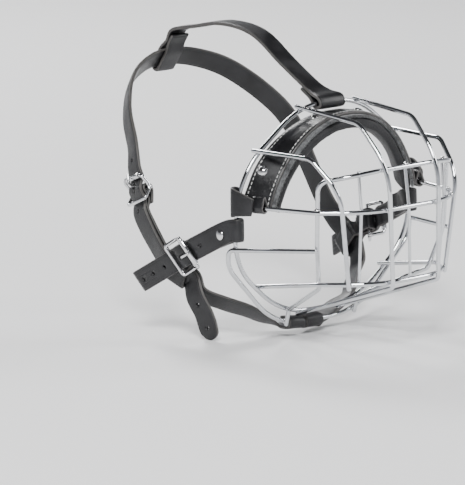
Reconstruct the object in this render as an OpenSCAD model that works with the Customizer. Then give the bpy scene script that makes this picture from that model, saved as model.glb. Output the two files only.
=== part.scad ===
// Basket muzzle: a welded wire basket with a padded nose band and a leather harness.
// Millimetres. The front of the basket is -Y, the wearer's left is +X, up is +Z.
// The origin is the centre of the rear hoop, where the snout enters the basket.

/* [Basket] */
// Width of the rear hoop between wire centres
hoop_w = 157; // [130:1:190]
// Height of the rear hoop between wire centres
hoop_h = 139; // [115:1:168]
// Reach of the basket in front of the rear hoop
basket_reach = 81.7; // [65:0.5:100]
// Lean of the rear hoop, top forward, in degrees
hoop_lean = 4.4; // [2:0.2:6]

/* [Wire] */
// Diameter of the cage wire
wire_d = 3; // [2.4:0.1:3.6]
// Diameter of the three thin front bars
bar_d = 2; // [1.6:0.1:2.6]
// Depth to which crossing wires are pressed together by the welds
weld_bite = 0.2; // [0.1:0.05:0.3]

/* [Nose pad] */
// Width of the leather cover along the snout
pad_w = 20; // [16:1:24]
// Thickness of the leather cover
pad_cover_t = 2; // [1.5:0.1:2.4]
// Thickness of the felt layer
pad_felt_t = 2; // [1.5:0.1:2.5]
// Thickness of the padded liner
pad_liner_t = 6; // [4:0.5:8]

/* [Harness] */
// Length of the head behind the rear hoop, as far as the nape
head_l = 155; // [140:1:186]
// Width of every strap
strap_w = 15; // [13:0.5:17]
// Thickness of the cheek straps, the neck strap and the top strap
strap_t = 2.5; // [2:0.1:2.8]
// Thickness of the leather that is folded round a buckle bar
base_t = 2; // [1.6:0.1:2.2]
// Clearance between layers of leather, and between leather and metal
gap = 0.3; // [0.25:0.05:0.4]

/* [Buckles] */
// Diameter of the buckle wire
buckle_d = 2.4; // [2:0.1:2.6]
// Distance from the centre bar to either outer bar
buckle_half_l = 8.2; // [7.8:0.1:9]
// Outside diameter of the roller
roller_d = 3.8; // [3.6:0.1:4.2]
// Diameter of the prong
prong_d = 1.9; // [1.6:0.1:2.1]
// Radial clearance of a roller or a prong's eye on its bar
run_gap = 0.06; // [0.03:0.01:0.09]

/* [Rivets] */
// Diameter of a rivet's domed head
rivet_head_d = 7; // [6:0.2:8]
// Height of a rivet's domed head
rivet_head_h = 1.6; // [1.2:0.1:2]
// Diameter of a rivet's shank
rivet_shank_d = 2.6; // [2:0.1:3]

/* [Hidden] */
$fn = 24;

// Sizes of the standard basket and head that the routes below are drawn for
hoop_w0 = 157;
hoop_h0 = 139;
reach0 = 81.7;
head_l0 = 155;
k_x = hoop_w / hoop_w0;
k_z = hoop_h / hoop_h0;
k_bend = min(k_x, k_z, basket_reach / reach0);

chrome = [0.78, 0.79, 0.8];

// A point of the standard shape, moved to the present sizes
function at(x, y, z) = [x * k_x, y * (y < 0 ? basket_reach / reach0 : head_l / head_l0), z * k_z];
function bend(p, r) = [p.x, p.y, p.z, r * k_bend];
function xyz(p) = [p.x, p.y, p.z];
function unit(v) = v / norm(v);
function flip(p) = len(p) == 4 ? [-p.x, p.y, p.z, p[3]] : [-p.x, p.y, p.z];
// A half route and its mirror image, as one list
function both_sides(half) = [each half, for (i = [len(half) - 1:-1:0]) flip(half[i])];

// Directions into and out of corner i of a route, and the circle that rounds it
function dir_in(r, i) = unit(xyz(r[i]) - xyz(r[(i + len(r) - 1) % len(r)]));
function dir_out(r, i) = unit(xyz(r[(i + 1) % len(r)]) - xyz(r[i]));
function turn(r, i) = acos(max(-1, min(1, dir_in(r, i) * dir_out(r, i))));
function arc_centre(r, i) =
    xyz(r[i]) + unit(dir_out(r, i) - dir_in(r, i)) * r[i][3] / cos(turn(r, i) / 2);
function arc_points(r, i) =
    let (c = arc_centre(r, i), w = turn(r, i), n = max(2, ceil(w / 8)), t = dir_in(r, i),
        u = unit(xyz(r[i]) - t * r[i][3] * tan(w / 2) - c))
    [for (k = [0:n]) c + r[i][3] * (u * cos(k * w / n) + t * sin(k * w / n))];
// Points along the centre line of a bent wire: its ends, and each bend in small steps
function centre_line(r) = [xyz(r[0]), for (i = [1:len(r) - 2]) each arc_points(r, i), xyz(r[len(r) - 1])];
function closed_line(r) = [for (i = [0:len(r) - 1]) each arc_points(r, i), arc_points(r, 0)[0]];
// First point of a line of points where coordinate k passes the value v, above height low
function first_cross(p, k, v, low = -1000) =
    [for (i = [0:len(p) - 2])
        if ((p[i][k] - v) * (p[i + 1][k] - v) <= 0 && p[i][k] != p[i + 1][k] && p[i].z > low)
            p[i] + (p[i + 1] - p[i]) * (v - p[i][k]) / (p[i + 1][k] - p[i][k])][0];

// Things placed with local x and y along given directions
module placed(o, x, y) {
    z = cross(x, y);
    multmatrix([[x.x, y.x, z.x, o.x], [x.y, y.y, z.y, o.y], [x.z, y.z, z.z, o.z]]) children();
}
module rod(a, b, d) {
    side = across(unit(b - a));
    placed(a, side, cross(unit(b - a), side)) cylinder(d = d, h = norm(b - a));
}
// Direction along a line of points, and a side direction that is carried along without twist
function along(p, i) = unit(p[min(i + 1, len(p) - 1)] - p[max(i - 1, 0)]);
function carried(p, u, i = 0) =
    let (t = along(p, i), v = unit(u - t * (u * t)))
    i == len(p) - 1 ? [v] : [v, each carried(p, v, i + 1)];
function across(d) = unit(cross(d, abs(d.z) < 0.9 ? [0, 0, 1] : [1, 0, 0]));
function ring_faces(n, m) = [for (i = [0:m - 2], j = [0:n - 1]) each
    let (a = i * n + j, b = i * n + (j + 1) % n) [[a, a + n, b], [b, a + n, b + n]]];
// Closed skin over rings of points, with flat ends
module skin(rings) {
    n = len(rings[0]);
    m = len(rings);
    polyhedron(points = [for (ring = rings) each ring], faces = [
        [for (j = [0:n - 1]) j], [for (j = [n - 1:-1:0]) (m - 1) * n + j], each ring_faces(n, m)]);
}
// Closed skin over rings that lead back to the first one
module loop_skin(rings) {
    n = len(rings[0]);
    m = len(rings);
    polyhedron(points = [for (ring = rings) each ring],
        faces = [for (f = ring_faces(n, m + 1)) [for (k = f) k % (n * m)]]);
}
function round_rings(p, u, d) = [for (i = [0:len(p) - 1]) let (v = cross(along(p, i), u[i]))
    [for (k = [0:7]) p[i] + d / 2 * (u[i] * cos(k * 45) + v * sin(k * 45))]];
// A round wire along a line of points
module wire(p, d) { skin(round_rings(p, carried(p, across(along(p, 0))), d)); }

// Distance between the centres of two crossing wires
lap = wire_d - weld_bite;
lap_bar = (wire_d + bar_d) / 2 - weld_bite;

// Rear hoop: four bends a side, in one leaning plane
function hoop_point(x, z, r) = let (p = at(x, 0, z)) [p.x, -p.z * tan(hoop_lean), p.z, r * k_bend];
hoop_half = [hoop_point(-34, -69.5, 70), hoop_point(-78.5, -31, 45), hoop_point(-78.5, 29, 55),
    hoop_point(-26, 69.5, 60)];
hoop_route = both_sides(hoop_half);
hoop_line = closed_line(hoop_route);

// Middle rail and bottom rail: U shapes whose ends lie inside the rear hoop
rail_z = 9;
rail_end = first_cross(hoop_line, 2, rail_z * k_z) + [0.91 * lap, 2, 0];
rail_route = both_sides([rail_end, bend(at(-60.5, -56, rail_z), 16), bend(at(-36, -81.7, rail_z), 45)]);
rail_line = centre_line(rail_route);
chin_end = first_cross(hoop_line, 0, -57 * k_x) + [0.6 * lap, 2, 0.7 * lap];
chin_route = both_sides([chin_end, bend(at(-53, -50, -39.5), 14), bend(at(-31, -82.2, -38.5), 40)]);
chin_line = centre_line(chin_route);

// Lower hoop: a U under the chin, bent forward at both ends to meet the grille loop
arm_front = at(-57.3, -54.5, -16) + [-0.93 * lap, -0.3 * lap, 0];
lower_route = both_sides([arm_front, bend(at(-82.3, 3.5, -19.5), 4), bend(at(-82.3, 4.4, -31.5), 18),
    bend(at(-37.7, 8, -77.5), 60)]);
lower_line = centre_line(lower_route);

// Grille loop: two stubs over both hoops, two diagonals, two uprights and the top bar
stay_x = -31;
stub_low = first_cross(lower_line, 0, stay_x * k_x);
stub_high = first_cross(hoop_line, 0, stay_x * k_x);
grille_route = both_sides([stub_low + [0, -0.9 * lap, -2], bend(stub_high + [0, -0.93 * lap, -0.5], 3),
    bend(at(-49.4, -46.5, -43), 4), bend(at(-57.3, -53.5, -16), 40), bend(at(-58.2, -56, 28.5), 8),
    bend(at(-44, -72.5, 32.5), 20), bend(at(-24, -78.3, 34.6), 40)]);
grille_line = centre_line(grille_route);

// Upper wires: from the hoop's top, over the front and back under the chin
upper_x = -26;
upper_seat = first_cross(hoop_line, 0, upper_x * k_x, low = 0);
upper_under = first_cross(hoop_line, 0, -18 * k_x);
upper_route = [upper_seat + [0, 2.6, lap], bend(at(-24, -59, 62.8), 12),
    bend(at(-22.3, -81.7, 35) + [0, -lap, 0], 45), bend(at(-20.5, -82.2, -38.5) + [0, -lap, -lap], 3),
    upper_under + [0, 3, -lap]];

// Side wires: from the hoop's shoulder, forward and down to the bottom rail
side_seat = first_cross(hoop_line, 0, -61.5 * k_x, low = 0);
side_route = [side_seat + [-0.62 * lap, 2.6, 0.78 * lap], bend(at(-58.5, -50, 43), 10),
    bend(at(-50.5, -69.1, 22) + [-0.72 * lap, -0.69 * lap, 0], 30),
    at(-41.1, -66.4, -41.5) + [-0.82 * lap, -0.57 * lap, 0]];

// Front bars: inside the grille, the middle rail and the bottom rail
function bar_seat(line, x, inward, low = -1000) =
    first_cross(line, 0, x * k_x, low = low) + inward * lap_bar;
function bar_route(x, foot_x, inward) = [bar_seat(grille_line, x, inward, low = 0) + [0, 0, wire_d / 2],
    bend(bar_seat(rail_line, x, inward), 20), bar_seat(chin_line, foot_x, inward) - [0, 0, wire_d / 2]];

upper_line = centre_line(upper_route);
side_line = centre_line(side_route);

module rear_hoop() {
    ring_line = [hoop_line[len(hoop_line) - 2], each hoop_line];
    rings = round_rings(ring_line, carried(ring_line, across(along(ring_line, 0))), wire_d);
    color(chrome) loop_skin([for (i = [1:len(rings) - 2]) rings[i]]);
}
module lower_hoop() { color(chrome) wire(lower_line, wire_d); }
module grille_loop() { color(chrome) wire(grille_line, wire_d); }
module middle_rail() { color(chrome) wire(rail_line, wire_d); }
module bottom_rail() { color(chrome) wire(chin_line, wire_d); }
module upper_wire_right() { color(chrome) wire(upper_line, wire_d); }
module upper_wire_left() { mirror([1, 0, 0]) upper_wire_right(); }
module side_wire_right() { color(chrome) wire(side_line, wire_d); }
module side_wire_left() { mirror([1, 0, 0]) side_wire_right(); }
module front_bar_right() {
    color(chrome) wire(centre_line(bar_route(-38.5, -37, unit([0.5, 0.87, 0]))), bar_d);
}
module front_bar_centre() { color(chrome) wire(centre_line(bar_route(0, 0, [0, 1, 0])), bar_d); }
module front_bar_left() { mirror([1, 0, 0]) front_bar_right(); }

// A row of a strap: place, the direction its outer face looks, and its share of the full width
function row(p, face, w = 1) = [each p, each face, w];
function place_of(r) = [r[0], r[1], r[2]];
function curve_point(a, b, c, d, t) = 0.5 * (2 * b + (c - a) * t + (2 * a - 5 * b + 4 * c - d) * t * t
    + (3 * b - a - 3 * c + d) * t * t * t);
function smooth(p, n) = [for (i = [0:len(p) - 2], k = [0:n - 1])
    curve_point(p[max(i - 1, 0)], p[i], p[i + 1], p[min(i + 2, len(p) - 1)], k / n), p[len(p) - 1]];
// A flat strap that follows its rows
module strap(rows, t, n = 3) {
    s = smooth(rows, n);
    p = [for (r = s) place_of(r)];
    color(leather) skin([for (i = [0:len(s) - 1])
        let (d = along(p, i), w = unit(cross([s[i][3], s[i][4], s[i][5]], d)), f = cross(d, w),
            a = w * strap_w / 2 * s[i][6], b = f * t / 2)
        [p[i] + a + b, p[i] - a + b, p[i] - a - b, p[i] + a - b]]);
}
// Outward direction made square to a strap's direction
function squared(n, d) = unit(n - d * (n * d));
// A place in a buckle's own axes: x towards the strap's tip, y across it, z outwards
function from(o, x, z, p) = o + x * p.x + cross(z, x) * p.y + z * p.z;
function rows_from(o, x, z, rows) = [for (r = rows)
    row(from(o, x, z, r[0]), x * r[1].x + cross(z, x) * r[1].y + z * r[1].z, 1)];
function flip_row(r) = [-r[0], r[1], r[2], -r[3], r[4], r[5], r[6]];

leather = [0.1, 0.1, 0.11];
felt = [0.42, 0.43, 0.44];
layer = strap_t / 2 + gap + base_t / 2;

// Buckle, in its own axes with the strap's middle plane at z = 0 away from the bars
weave_low = -1.2;
weave_high = 1.4;
front_bar_z = weave_low + strap_t / 2 + 0.5 + roller_d / 2;
rear_bar_z = weave_low + strap_t / 2 + 0.5 + buckle_d / 2;
centre_bar_z = weave_high - strap_t / 2 - gap - base_t - 2.5 * gap - buckle_d / 2;
frame_half_w = strap_w / 2 + buckle_d / 2 + 2.7;
eye_d = buckle_d + 2 * run_gap;
weave = [[[-15, 0, 0], [0, 0, 1]], [[-buckle_half_l, 0, weave_low], [0, 0, 1]], [[0, 0, weave_high], [0, 0, 1]],
    [[buckle_half_l, 0, weave_low], [0, 0, 1]], [[15, 0, 0], [0, 0, 1]]];
// Leather folded round the centre bar: from under the bar, round its front, to on top of it
fold_r = buckle_d / 2 + 2.5 * gap + base_t / 2;
base_low = weave_low - layer;
base_fold = [[[10, 0, base_low - base_t - gap], [0, 0, -1]], [[4, 0, centre_bar_z - fold_r], [0, 0, -1]],
    [[0, 0, centre_bar_z - fold_r], [0, 0, -1]], [[-0.8 * fold_r, 0, centre_bar_z - 0.6 * fold_r], [-0.8, 0, -0.6]],
    [[-0.8 * fold_r, 0, centre_bar_z + 0.6 * fold_r], [-0.8, 0, 0.6]], [[0, 0, centre_bar_z + fold_r], [0, 0, 1]],
    [[4, 0, (centre_bar_z + fold_r + base_low) / 2 - 0.4], [0.3, 0, 1]],
    [[buckle_half_l, 0, base_low - 0.2], [0, 0, 1]], [[15, 0, -layer], [0, 0, 1]]];

rail_t = buckle_d;
// Outline of a side rail, seen along the bars: it dips to the centre bar
rail_outline = [[-buckle_half_l - 1.5, front_bar_z - 1], [-buckle_half_l - 1.5, front_bar_z + 1.1],
    [-buckle_half_l + 1.2, front_bar_z + 1.4], [-2, centre_bar_z + 2.4], [2, centre_bar_z + 2.4],
    [buckle_half_l - 1.2, rear_bar_z + 1.4], [buckle_half_l + 1.5, rear_bar_z + 1.1],
    [buckle_half_l + 1.5, rear_bar_z - 1], [buckle_half_l - 0.2, rear_bar_z - 1.5],
    [1.4, centre_bar_z - 1.5], [-1.4, centre_bar_z - 1.5], [-buckle_half_l + 0.2, front_bar_z - 1.5]];
module buckle_frame() {
    color(chrome) {
        for (side = [-1, 1])
            translate([0, side * frame_half_w + rail_t / 2, 0]) rotate([90, 0, 0])
                linear_extrude(rail_t) polygon(rail_outline);
        for (bar = [[-buckle_half_l, front_bar_z], [0, centre_bar_z], [buckle_half_l, rear_bar_z]])
            translate([bar.x, frame_half_w, bar.y]) rotate([90, 0, 0]) cylinder(d = buckle_d, h = 2 * frame_half_w);
    }
}
module buckle_roller() {
    long = 2 * frame_half_w - rail_t - 1;
    color(chrome) translate([-buckle_half_l, long / 2, front_bar_z]) rotate([90, 0, 0]) difference() {
        cylinder(d = roller_d, h = long);
        translate([0, 0, -1]) cylinder(d = eye_d, h = long + 2);
    }
}
prong_top_z = front_bar_z + roller_d / 2 + 1.7 * gap + prong_d / 2;
prong_knee = [-2.4, 0, prong_top_z - 0.6];
module buckle_prong() {
    foot = [-0.9, 0, centre_bar_z + 1.6];
    rise = unit(prong_knee - foot);
    color(chrome) difference() {
        union() {
            translate([0, prong_d * 0.65, centre_bar_z]) rotate([90, 0, 0])
                cylinder(d = eye_d + 2, h = prong_d * 1.3);
            rod(foot, prong_knee + rise * 0.5, prong_d + 0.2);
            rod(prong_knee, [-buckle_half_l - 2.6, 0, prong_top_z], prong_d);
        }
        translate([0, prong_d, centre_bar_z]) rotate([90, 0, 0]) cylinder(d = eye_d, h = prong_d * 2);
    }
}
// Slot in the leather that the prong comes up through
module prong_slot(back, front, w) {
    translate([-back, -w / 2, centre_bar_z - fold_r - base_t]) cube([back + front, w, fold_r + base_t + 9]);
}
module rivet(grip) {
    head_r = (rivet_head_d * rivet_head_d / 4 + rivet_head_h * rivet_head_h) / (2 * rivet_head_h);
    color(chrome) {
        intersection() {
            translate([0, 0, rivet_head_h - head_r]) sphere(r = head_r, $fn = 48);
            cylinder(d = rivet_head_d, h = rivet_head_h + 1, $fn = 48);
        }
        translate([0, 0, -grip]) cylinder(d = rivet_shank_d, h = grip);
        translate([0, 0, -grip - 0.6]) cylinder(d = rivet_head_d - 1, h = 0.6);
    }
}

// Where the cheek buckle and the neck buckle lie, and the sleeve beside the cheek buckle
cheek_o = at(-86.6, 43, -27.3);
cheek_x = unit([-0.03, 0.88, -0.47]);
cheek_z = squared([-0.94, -0.15, -0.3], cheek_x);
neck_o = at(-77.8, 98, 8.5);
neck_x = unit([-0.15, -0.33, -0.93]);
neck_z = squared([-0.96, 0.2, 0.1], neck_x);
sleeve_x = unit([-0.51, 0.86, 0]);
sleeve_top = weave_low - strap_t / 2 - gap;
sleeve_in_h = strap_t + base_t + 4 * gap;
sleeve_in_w = strap_w + 3 * gap;
sleeve_at = [18.6, 7.7, sleeve_top - base_t - gap - strap_t / 2];

// Length of the cheek strap's tip beyond the centre bar
cheek_tip = 48;
// Cheek strap: folded round the side of the rear hoop, riveted, and buckled
strap_fold_r = wire_d / 2 + 2.5 * gap + strap_t / 2;
two_layers = strap_t + gap;
cheek_hoop = first_cross(hoop_line, 2, -6.5 * k_z);
cheek_rivet = at(-82.8, 10, -10);
cheek_rows = [
    row(cheek_rivet + [two_layers, 7, -2.8], [1, 0, 0.1]),
    row(cheek_rivet + [two_layers, 0, 0], [1, 0, 0.1]),
    row(cheek_hoop + [strap_fold_r, 1, 0], [1, 0, 0]),
    row(cheek_hoop + [0.7 * strap_fold_r, -strap_fold_r, 0.2], [0.7, -0.7, 0]),
    row(cheek_hoop + [0, -strap_fold_r - 1.2, 0.3], [0, -1, 0]),
    row(cheek_hoop + [-0.7 * strap_fold_r, -strap_fold_r, 0.2], [-0.7, -0.7, 0]),
    row(cheek_hoop + [-strap_fold_r, 1, 0], [-1, 0, 0]),
    row(cheek_rivet, [-1, 0, -0.1]),
    each rows_from(cheek_o, cheek_x, cheek_z, weave),
    row(from(cheek_o, cheek_x, cheek_z, [cheek_tip / 2 + 8, 0, 0.3]), cheek_z),
    row(from(cheek_o, cheek_x, cheek_z, [cheek_tip, 0, 0.5]), cheek_z)];
module cheek_strap_right() {
    color(leather) difference() {
        strap(cheek_rows, strap_t);
        placed(cheek_o, cheek_x, cross(cheek_z, cheek_x)) prong_slot(3.6, 3.9, prong_d + 3 * gap);
    }
}
module cheek_rivet_right() { placed(cheek_rivet + [-strap_t / 2, 0, 0], [0, 1, 0], [0, 0, -1]) rivet(2 * strap_t + gap); }
module cheek_rivets() {
    cheek_rivet_right();
    mirror([1, 0, 0]) cheek_rivet_right();
}
module slider_right() {
    tab = [for (i = [0:len(base_fold) - 2]) base_fold[i]];
    slider_rows = rows_from([0, 0, 0], [1, 0, 0], [0, 0, 1], [each tab, [[15, 0, -layer - 0.4], [0, 0, 1]]]);
    color(leather) placed(cheek_o, cheek_x, cross(cheek_z, cheek_x)) {
        difference() {
            strap(slider_rows, base_t);
            prong_slot(7, 4.2, prong_d * 1.3 + 3 * gap);
        }
        placed([sleeve_at.x, sleeve_at.y, sleeve_top - base_t - sleeve_in_h / 2], sleeve_x, cross([0, 0, 1], sleeve_x))
            difference() {
                cube([strap_w, sleeve_in_w + 2 * base_t, sleeve_in_h + 2 * base_t], center = true);
                cube([strap_w + 1, sleeve_in_w, sleeve_in_h], center = true);
            }
    }
}
function in_sleeve(s, depth) = from(cheek_o, cheek_x, cheek_z, sleeve_at + sleeve_x * s - [0, 0, depth]);

// Neck strap: its punched end hangs below the right sleeve; from there it goes up through the right
// sleeve and the neck buckle, over the nape, down the left side and under the chin to the lower hoop
tip_face = [-0.93, -0.25, -0.25];
tip_rows = [row(at(-70.3, 37, -85), tip_face, 0.3), row(at(-70.8, 36.6, -81.5), tip_face, 0.85),
    row(at(-72, 36.5, -76), tip_face), row(at(-74.3, 38, -67), tip_face), row(at(-77.2, 42.5, -56.5), tip_face)];
sleeve_rows = [for (s = [11, 8, 0, -8, -11]) row(in_sleeve(s, 0), cheek_z)];
side_rows = [row(at(-81, 73.5, -29.5), [-0.97, 0.1, -0.2]), row(at(-80.6, 85.5, -16), [-0.97, 0.15, -0.05])];
neck_weave = rows_from(neck_o, neck_x, neck_z, [for (i = [4:-1:0]) weave[i]]);
nape_rows = [row(at(-71.5, 109, 37), [-0.9, 0.4, 0.2]), row(at(-62, 125, 56), [-0.75, 0.6, 0.35]),
    row(at(-43, 142, 74), [-0.45, 0.75, 0.5]), row(at(-20, 151.5, 83), [-0.2, 0.8, 0.6])];
nape_mid = row(at(0, 154, 85), [0, 0.8, 0.6]);
function flipped(rows) = [for (i = [len(rows) - 1:-1:0]) flip_row(rows[i])];
neck_left = row(at(77.8, 98, 8.5), [0.96, 0.2, 0.1]);
chin_rows = [row(at(-71.5, 43.5, -55), [-0.9, -0.15, -0.4]), row(at(-58, 35.2, -62.5), [-0.75, -0.3, -0.6]),
    row(at(-46, 26, -68), [-0.6, -0.35, -0.72])];
function chin_loop(x, t) =
    let (c = first_cross(lower_line, 0, x * k_x), up = unit(cross(first_cross(lower_line, 0, (x + 1) * k_x) - c, [0, 1, 0])),
        r = wire_d / 2 + 2.5 * gap + t / 2, front = [0, -1, 0]) [
    row(c - up * r - front * 2, -up), row(c + front * 0.75 * r - up * 0.7 * r, front - up), row(c + front * r, front),
    row(c + front * 0.75 * r + up * 0.7 * r, front + up), row(c + up * r - front * 2, up),
    row(c + up * (r - 0.4) - front * 6, up)];
loop_right_x = -21.2;
loop_left_x = loop_right_x + strap_w + gap;
module neck_strap() {
    rows = [each tip_rows, each sleeve_rows, each side_rows, each neck_weave, each nape_rows, nape_mid,
        each flipped(nape_rows), neck_left, each flipped(side_rows), each flipped(sleeve_rows),
        for (r = chin_rows) flip_row(r), row(at(30, 22, -74), [0.2, 0, -1]), row(at(14, 18.5, -78.5), [0.1, 0, -1]),
        row(at(2, 14.5, -80), [0, 0, -1]), each chin_loop(loop_left_x, strap_t)];
    color(leather) difference() {
        strap(rows, strap_t);
        placed(neck_o, neck_x, cross(neck_z, neck_x)) prong_slot(3.6, 3.9, prong_d + 3 * gap);
    }
}
module throat_strap() {
    under = layer + gap;
    rows = [each rows_from(neck_o, neck_x, neck_z, base_fold),
        for (r = [side_rows[1], side_rows[0]]) row(place_of(r) - unit([r[3], r[4], r[5]]) * under, [r[3], r[4], r[5]]),
        for (s = [-11, -8, 0, 8, 11]) row(in_sleeve(s, layer), cheek_z),
        each chin_rows, row(at(-36, 21.5, -74.5), [-0.4, -0.2, -0.9]), row(at(-27, 17.5, -79), [-0.15, 0, -1]),
        each chin_loop(loop_right_x, base_t)];
    color(leather) difference() {
        strap(rows, base_t);
        placed(neck_o, neck_x, cross(neck_z, neck_x)) prong_slot(7, 4.2, prong_d * 1.3 + 3 * gap);
    }
}

// Top strap: folded round the top of the rear hoop, over the forehead, and round the neck strap
top_hoop = first_cross(hoop_line, 0, 0, low = 0);
top_dir = unit([0, 0.9, 0.43]);
top_up = cross(top_dir, [-1, 0, 0]);
nape_w = unit(cross([0, 0.8, 0.6], [1, 0, 0]));
nape_out = [0, 0.8, 0.6];
function top_fold(a, b) = top_hoop + top_dir * a + top_up * b;
function nape_fold(a, b) = place_of(nape_mid) + nape_w * a + nape_out * b;
roll_w = 1.5;
half_pair = (strap_t + gap) / 2;
nape_pair = strap_t + 2 * gap;
top_rows = [
    row(top_fold(20, -half_pair), -top_up, 1), row(top_fold(9, -half_pair - 0.2), -top_up, 1.2),
    row(top_fold(1, -strap_fold_r), -top_up, roll_w), row(top_fold(-2.4, -2.2), -top_dir - top_up, roll_w),
    row(top_fold(-strap_fold_r - 0.3, 0), -top_dir, roll_w), row(top_fold(-2.4, 2.2), top_up - top_dir, roll_w),
    row(top_fold(1, strap_fold_r), top_up, roll_w), row(top_fold(9, half_pair + 0.2), top_up, 1.2),
    row(top_fold(20, half_pair), top_up, 1),
    row(at(0, 35.8, 93.5), [0, -0.55, 0.84]), row(at(0, 50, 103.2), [0, -0.45, 0.9]),
    row(at(0, 62, 109.2), [0, -0.3, 0.95]), row(at(0, 77, 112.5), [0, -0.1, 1]), row(at(0, 97, 113), [0, 0.1, 1]),
    row(at(0, 120, 109), [0, 0.3, 0.95]), row(nape_fold(-24, half_pair), nape_out),
    row(nape_fold(-14, half_pair), nape_out), row(nape_fold(-7, nape_pair), nape_out),
    row(nape_fold(0, nape_pair), nape_out), row(nape_fold(strap_w / 2, nape_pair), nape_out),
    row(nape_fold(strap_w / 2 + 2, 0.7 * nape_pair), nape_out + nape_w),
    row(nape_fold(strap_w / 2 + 2.9, 0), nape_w),
    row(nape_fold(strap_w / 2 + 2, -0.7 * nape_pair), nape_w - nape_out),
    row(nape_fold(strap_w / 2, -nape_pair), -nape_out), row(nape_fold(0, -nape_pair), -nape_out),
    row(nape_fold(-7, -nape_pair), -nape_out), row(nape_fold(-14, -half_pair), -nape_out),
    row(nape_fold(-21, -half_pair), -nape_out)];
module top_strap() { strap(top_rows, strap_t); }
module nape_rivet() {
    placed(nape_fold(-16, half_pair + strap_t / 2), [1, 0, 0], cross(nape_out, [1, 0, 0])) rivet(2 * strap_t + gap);
}

// Nose pad: layers between a rear edge beside the hoop and a front edge that follows the snout
pad_rear = [[-75, 13], [-72, 20], [-65.8, 32.5], [-57.5, 42.5], [-47.5, 50.3], [-36, 56.6], [-22, 61.6], [-8, 64], [0, 64.2]];
pad_front = [[-66, 8], [-63.2, 18], [-57, 30], [-49.5, 41], [-41, 49.8], [-30, 57.5], [-17, 62.6], [-6, 64.3], [0, 64.4]];
function mirrored_arch(a) = [each a, for (i = [len(a) - 2:-1:0]) [-a[i].x, a[i].y]];
function pad_edge(a, y) = [for (q = mirrored_arch(a)) let (p = at(q.x, 0, q.y)) [p.x, y - p.z * tan(hoop_lean), p.z]];
rear_edge = pad_edge(pad_rear, -1.5);
front_edge = pad_edge(pad_front, -1.5 - 0.87 * pad_w);
// A layer of the pad: its depth under the cover's outer face, its thickness and how far it stands proud
module pad_layer(depth, t, back, forward) {
    skin([for (i = [0:len(rear_edge) - 1])
        let (d = unit(front_edge[i] - rear_edge[i]), n = unit(cross(d, along(rear_edge, i))),
            a = rear_edge[i] - d * back, b = front_edge[i] + d * forward)
        [a - n * depth, b - n * depth, b - n * (depth + t), a - n * (depth + t)]]);
}
fold_in_d = wire_d + 2 * gap;
module pad_fold() {
    run = unit(xyz(rail_route[1]) - rail_end);
    color(leather) difference() {
        rod(rail_end + run * 12, rail_end + run * 21, fold_in_d + 2 * pad_cover_t);
        rod(rail_end + run * 11, rail_end + run * 22, fold_in_d);
    }
}
module pad_cover() { color(leather) pad_layer(0, pad_cover_t, 0, 0); }
module pad_felt() { color(felt) pad_layer(pad_cover_t + gap, pad_felt_t, -0.5, 1); }
module pad_liner() { color(leather) pad_layer(pad_cover_t + pad_felt_t + 2 * gap, pad_liner_t, -1, 4); }
module pad_fold_right() { pad_fold(); }
module pad_fold_left() { mirror([1, 0, 0]) pad_fold(); }
pad_rivet_stations = [2, 6, 10, 14];
module pad_rivets() {
    for (i = pad_rivet_stations) {
        d = unit(front_edge[i] - rear_edge[i]);
        n = unit(cross(d, along(rear_edge, i)));
        placed(rear_edge[i] + d * 6, d, cross(n, d)) rivet(pad_cover_t + pad_felt_t + gap);
    }
}
// Tab: leather from each lower end of the pad, round the side of the hoop
tab_hoop = first_cross(hoop_line, 2, 12 * k_z);
tab_rows = [row(tab_hoop + [4.5, strap_fold_r + 0.9, 0], [0.1, 1, 0], 1.2), row(tab_hoop + [1, strap_fold_r + 0.7, 0], [0, 1, 0], 1.3),
    row(tab_hoop + [-strap_fold_r, 1.5, 0], [-1, 0.3, 0], 1.3), row(tab_hoop + [-strap_fold_r + 0.4, -3.5, -0.5], [-0.95, -0.3, 0], 1.1),
    row(tab_hoop + [1, -13, -2.4], [-0.95, -0.3, 0], 0.75)];
module pad_tab_right() { strap(tab_rows, pad_cover_t); }
module pad_tab_left() { mirror([1, 0, 0]) pad_tab_right(); }

module at_cheek_right() { placed(cheek_o, cheek_x, cross(cheek_z, cheek_x)) children(); }
module at_cheek_left() { mirror([1, 0, 0]) at_cheek_right() children(); }
module at_neck() { placed(neck_o, neck_x, cross(neck_z, neck_x)) children(); }
module cheek_frame_right() { at_cheek_right() buckle_frame(); }
module cheek_roller_right() { at_cheek_right() buckle_roller(); }
module cheek_prong_right() { at_cheek_right() buckle_prong(); }
module cheek_frame_left() { at_cheek_left() buckle_frame(); }
module cheek_roller_left() { at_cheek_left() buckle_roller(); }
module cheek_prong_left() { at_cheek_left() buckle_prong(); }
module neck_frame() { at_neck() buckle_frame(); }
module neck_roller() { at_neck() buckle_roller(); }
module neck_prong() { at_neck() buckle_prong(); }
module cheek_strap_left() { mirror([1, 0, 0]) cheek_strap_right(); }
module slider_left() { mirror([1, 0, 0]) slider_right(); }

rear_hoop();
lower_hoop();
grille_loop();
middle_rail();
bottom_rail();
upper_wire_right();
upper_wire_left();
side_wire_right();
side_wire_left();
front_bar_right();
front_bar_centre();
front_bar_left();
pad_cover();
pad_felt();
pad_liner();
pad_fold_right();
pad_fold_left();
pad_tab_right();
pad_tab_left();
pad_rivets();
cheek_strap_right();
cheek_strap_left();
cheek_rivets();
slider_right();
slider_left();
cheek_frame_right();
cheek_roller_right();
cheek_prong_right();
cheek_frame_left();
cheek_roller_left();
cheek_prong_left();
neck_strap();
throat_strap();
neck_frame();
neck_roller();
neck_prong();
top_strap();
nape_rivet();
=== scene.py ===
"""Basket muzzle: a chrome wire cage with a padded nose band, a leather harness and roller buckles.

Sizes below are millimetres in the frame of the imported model; meshes are written in metres.
"""

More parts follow.
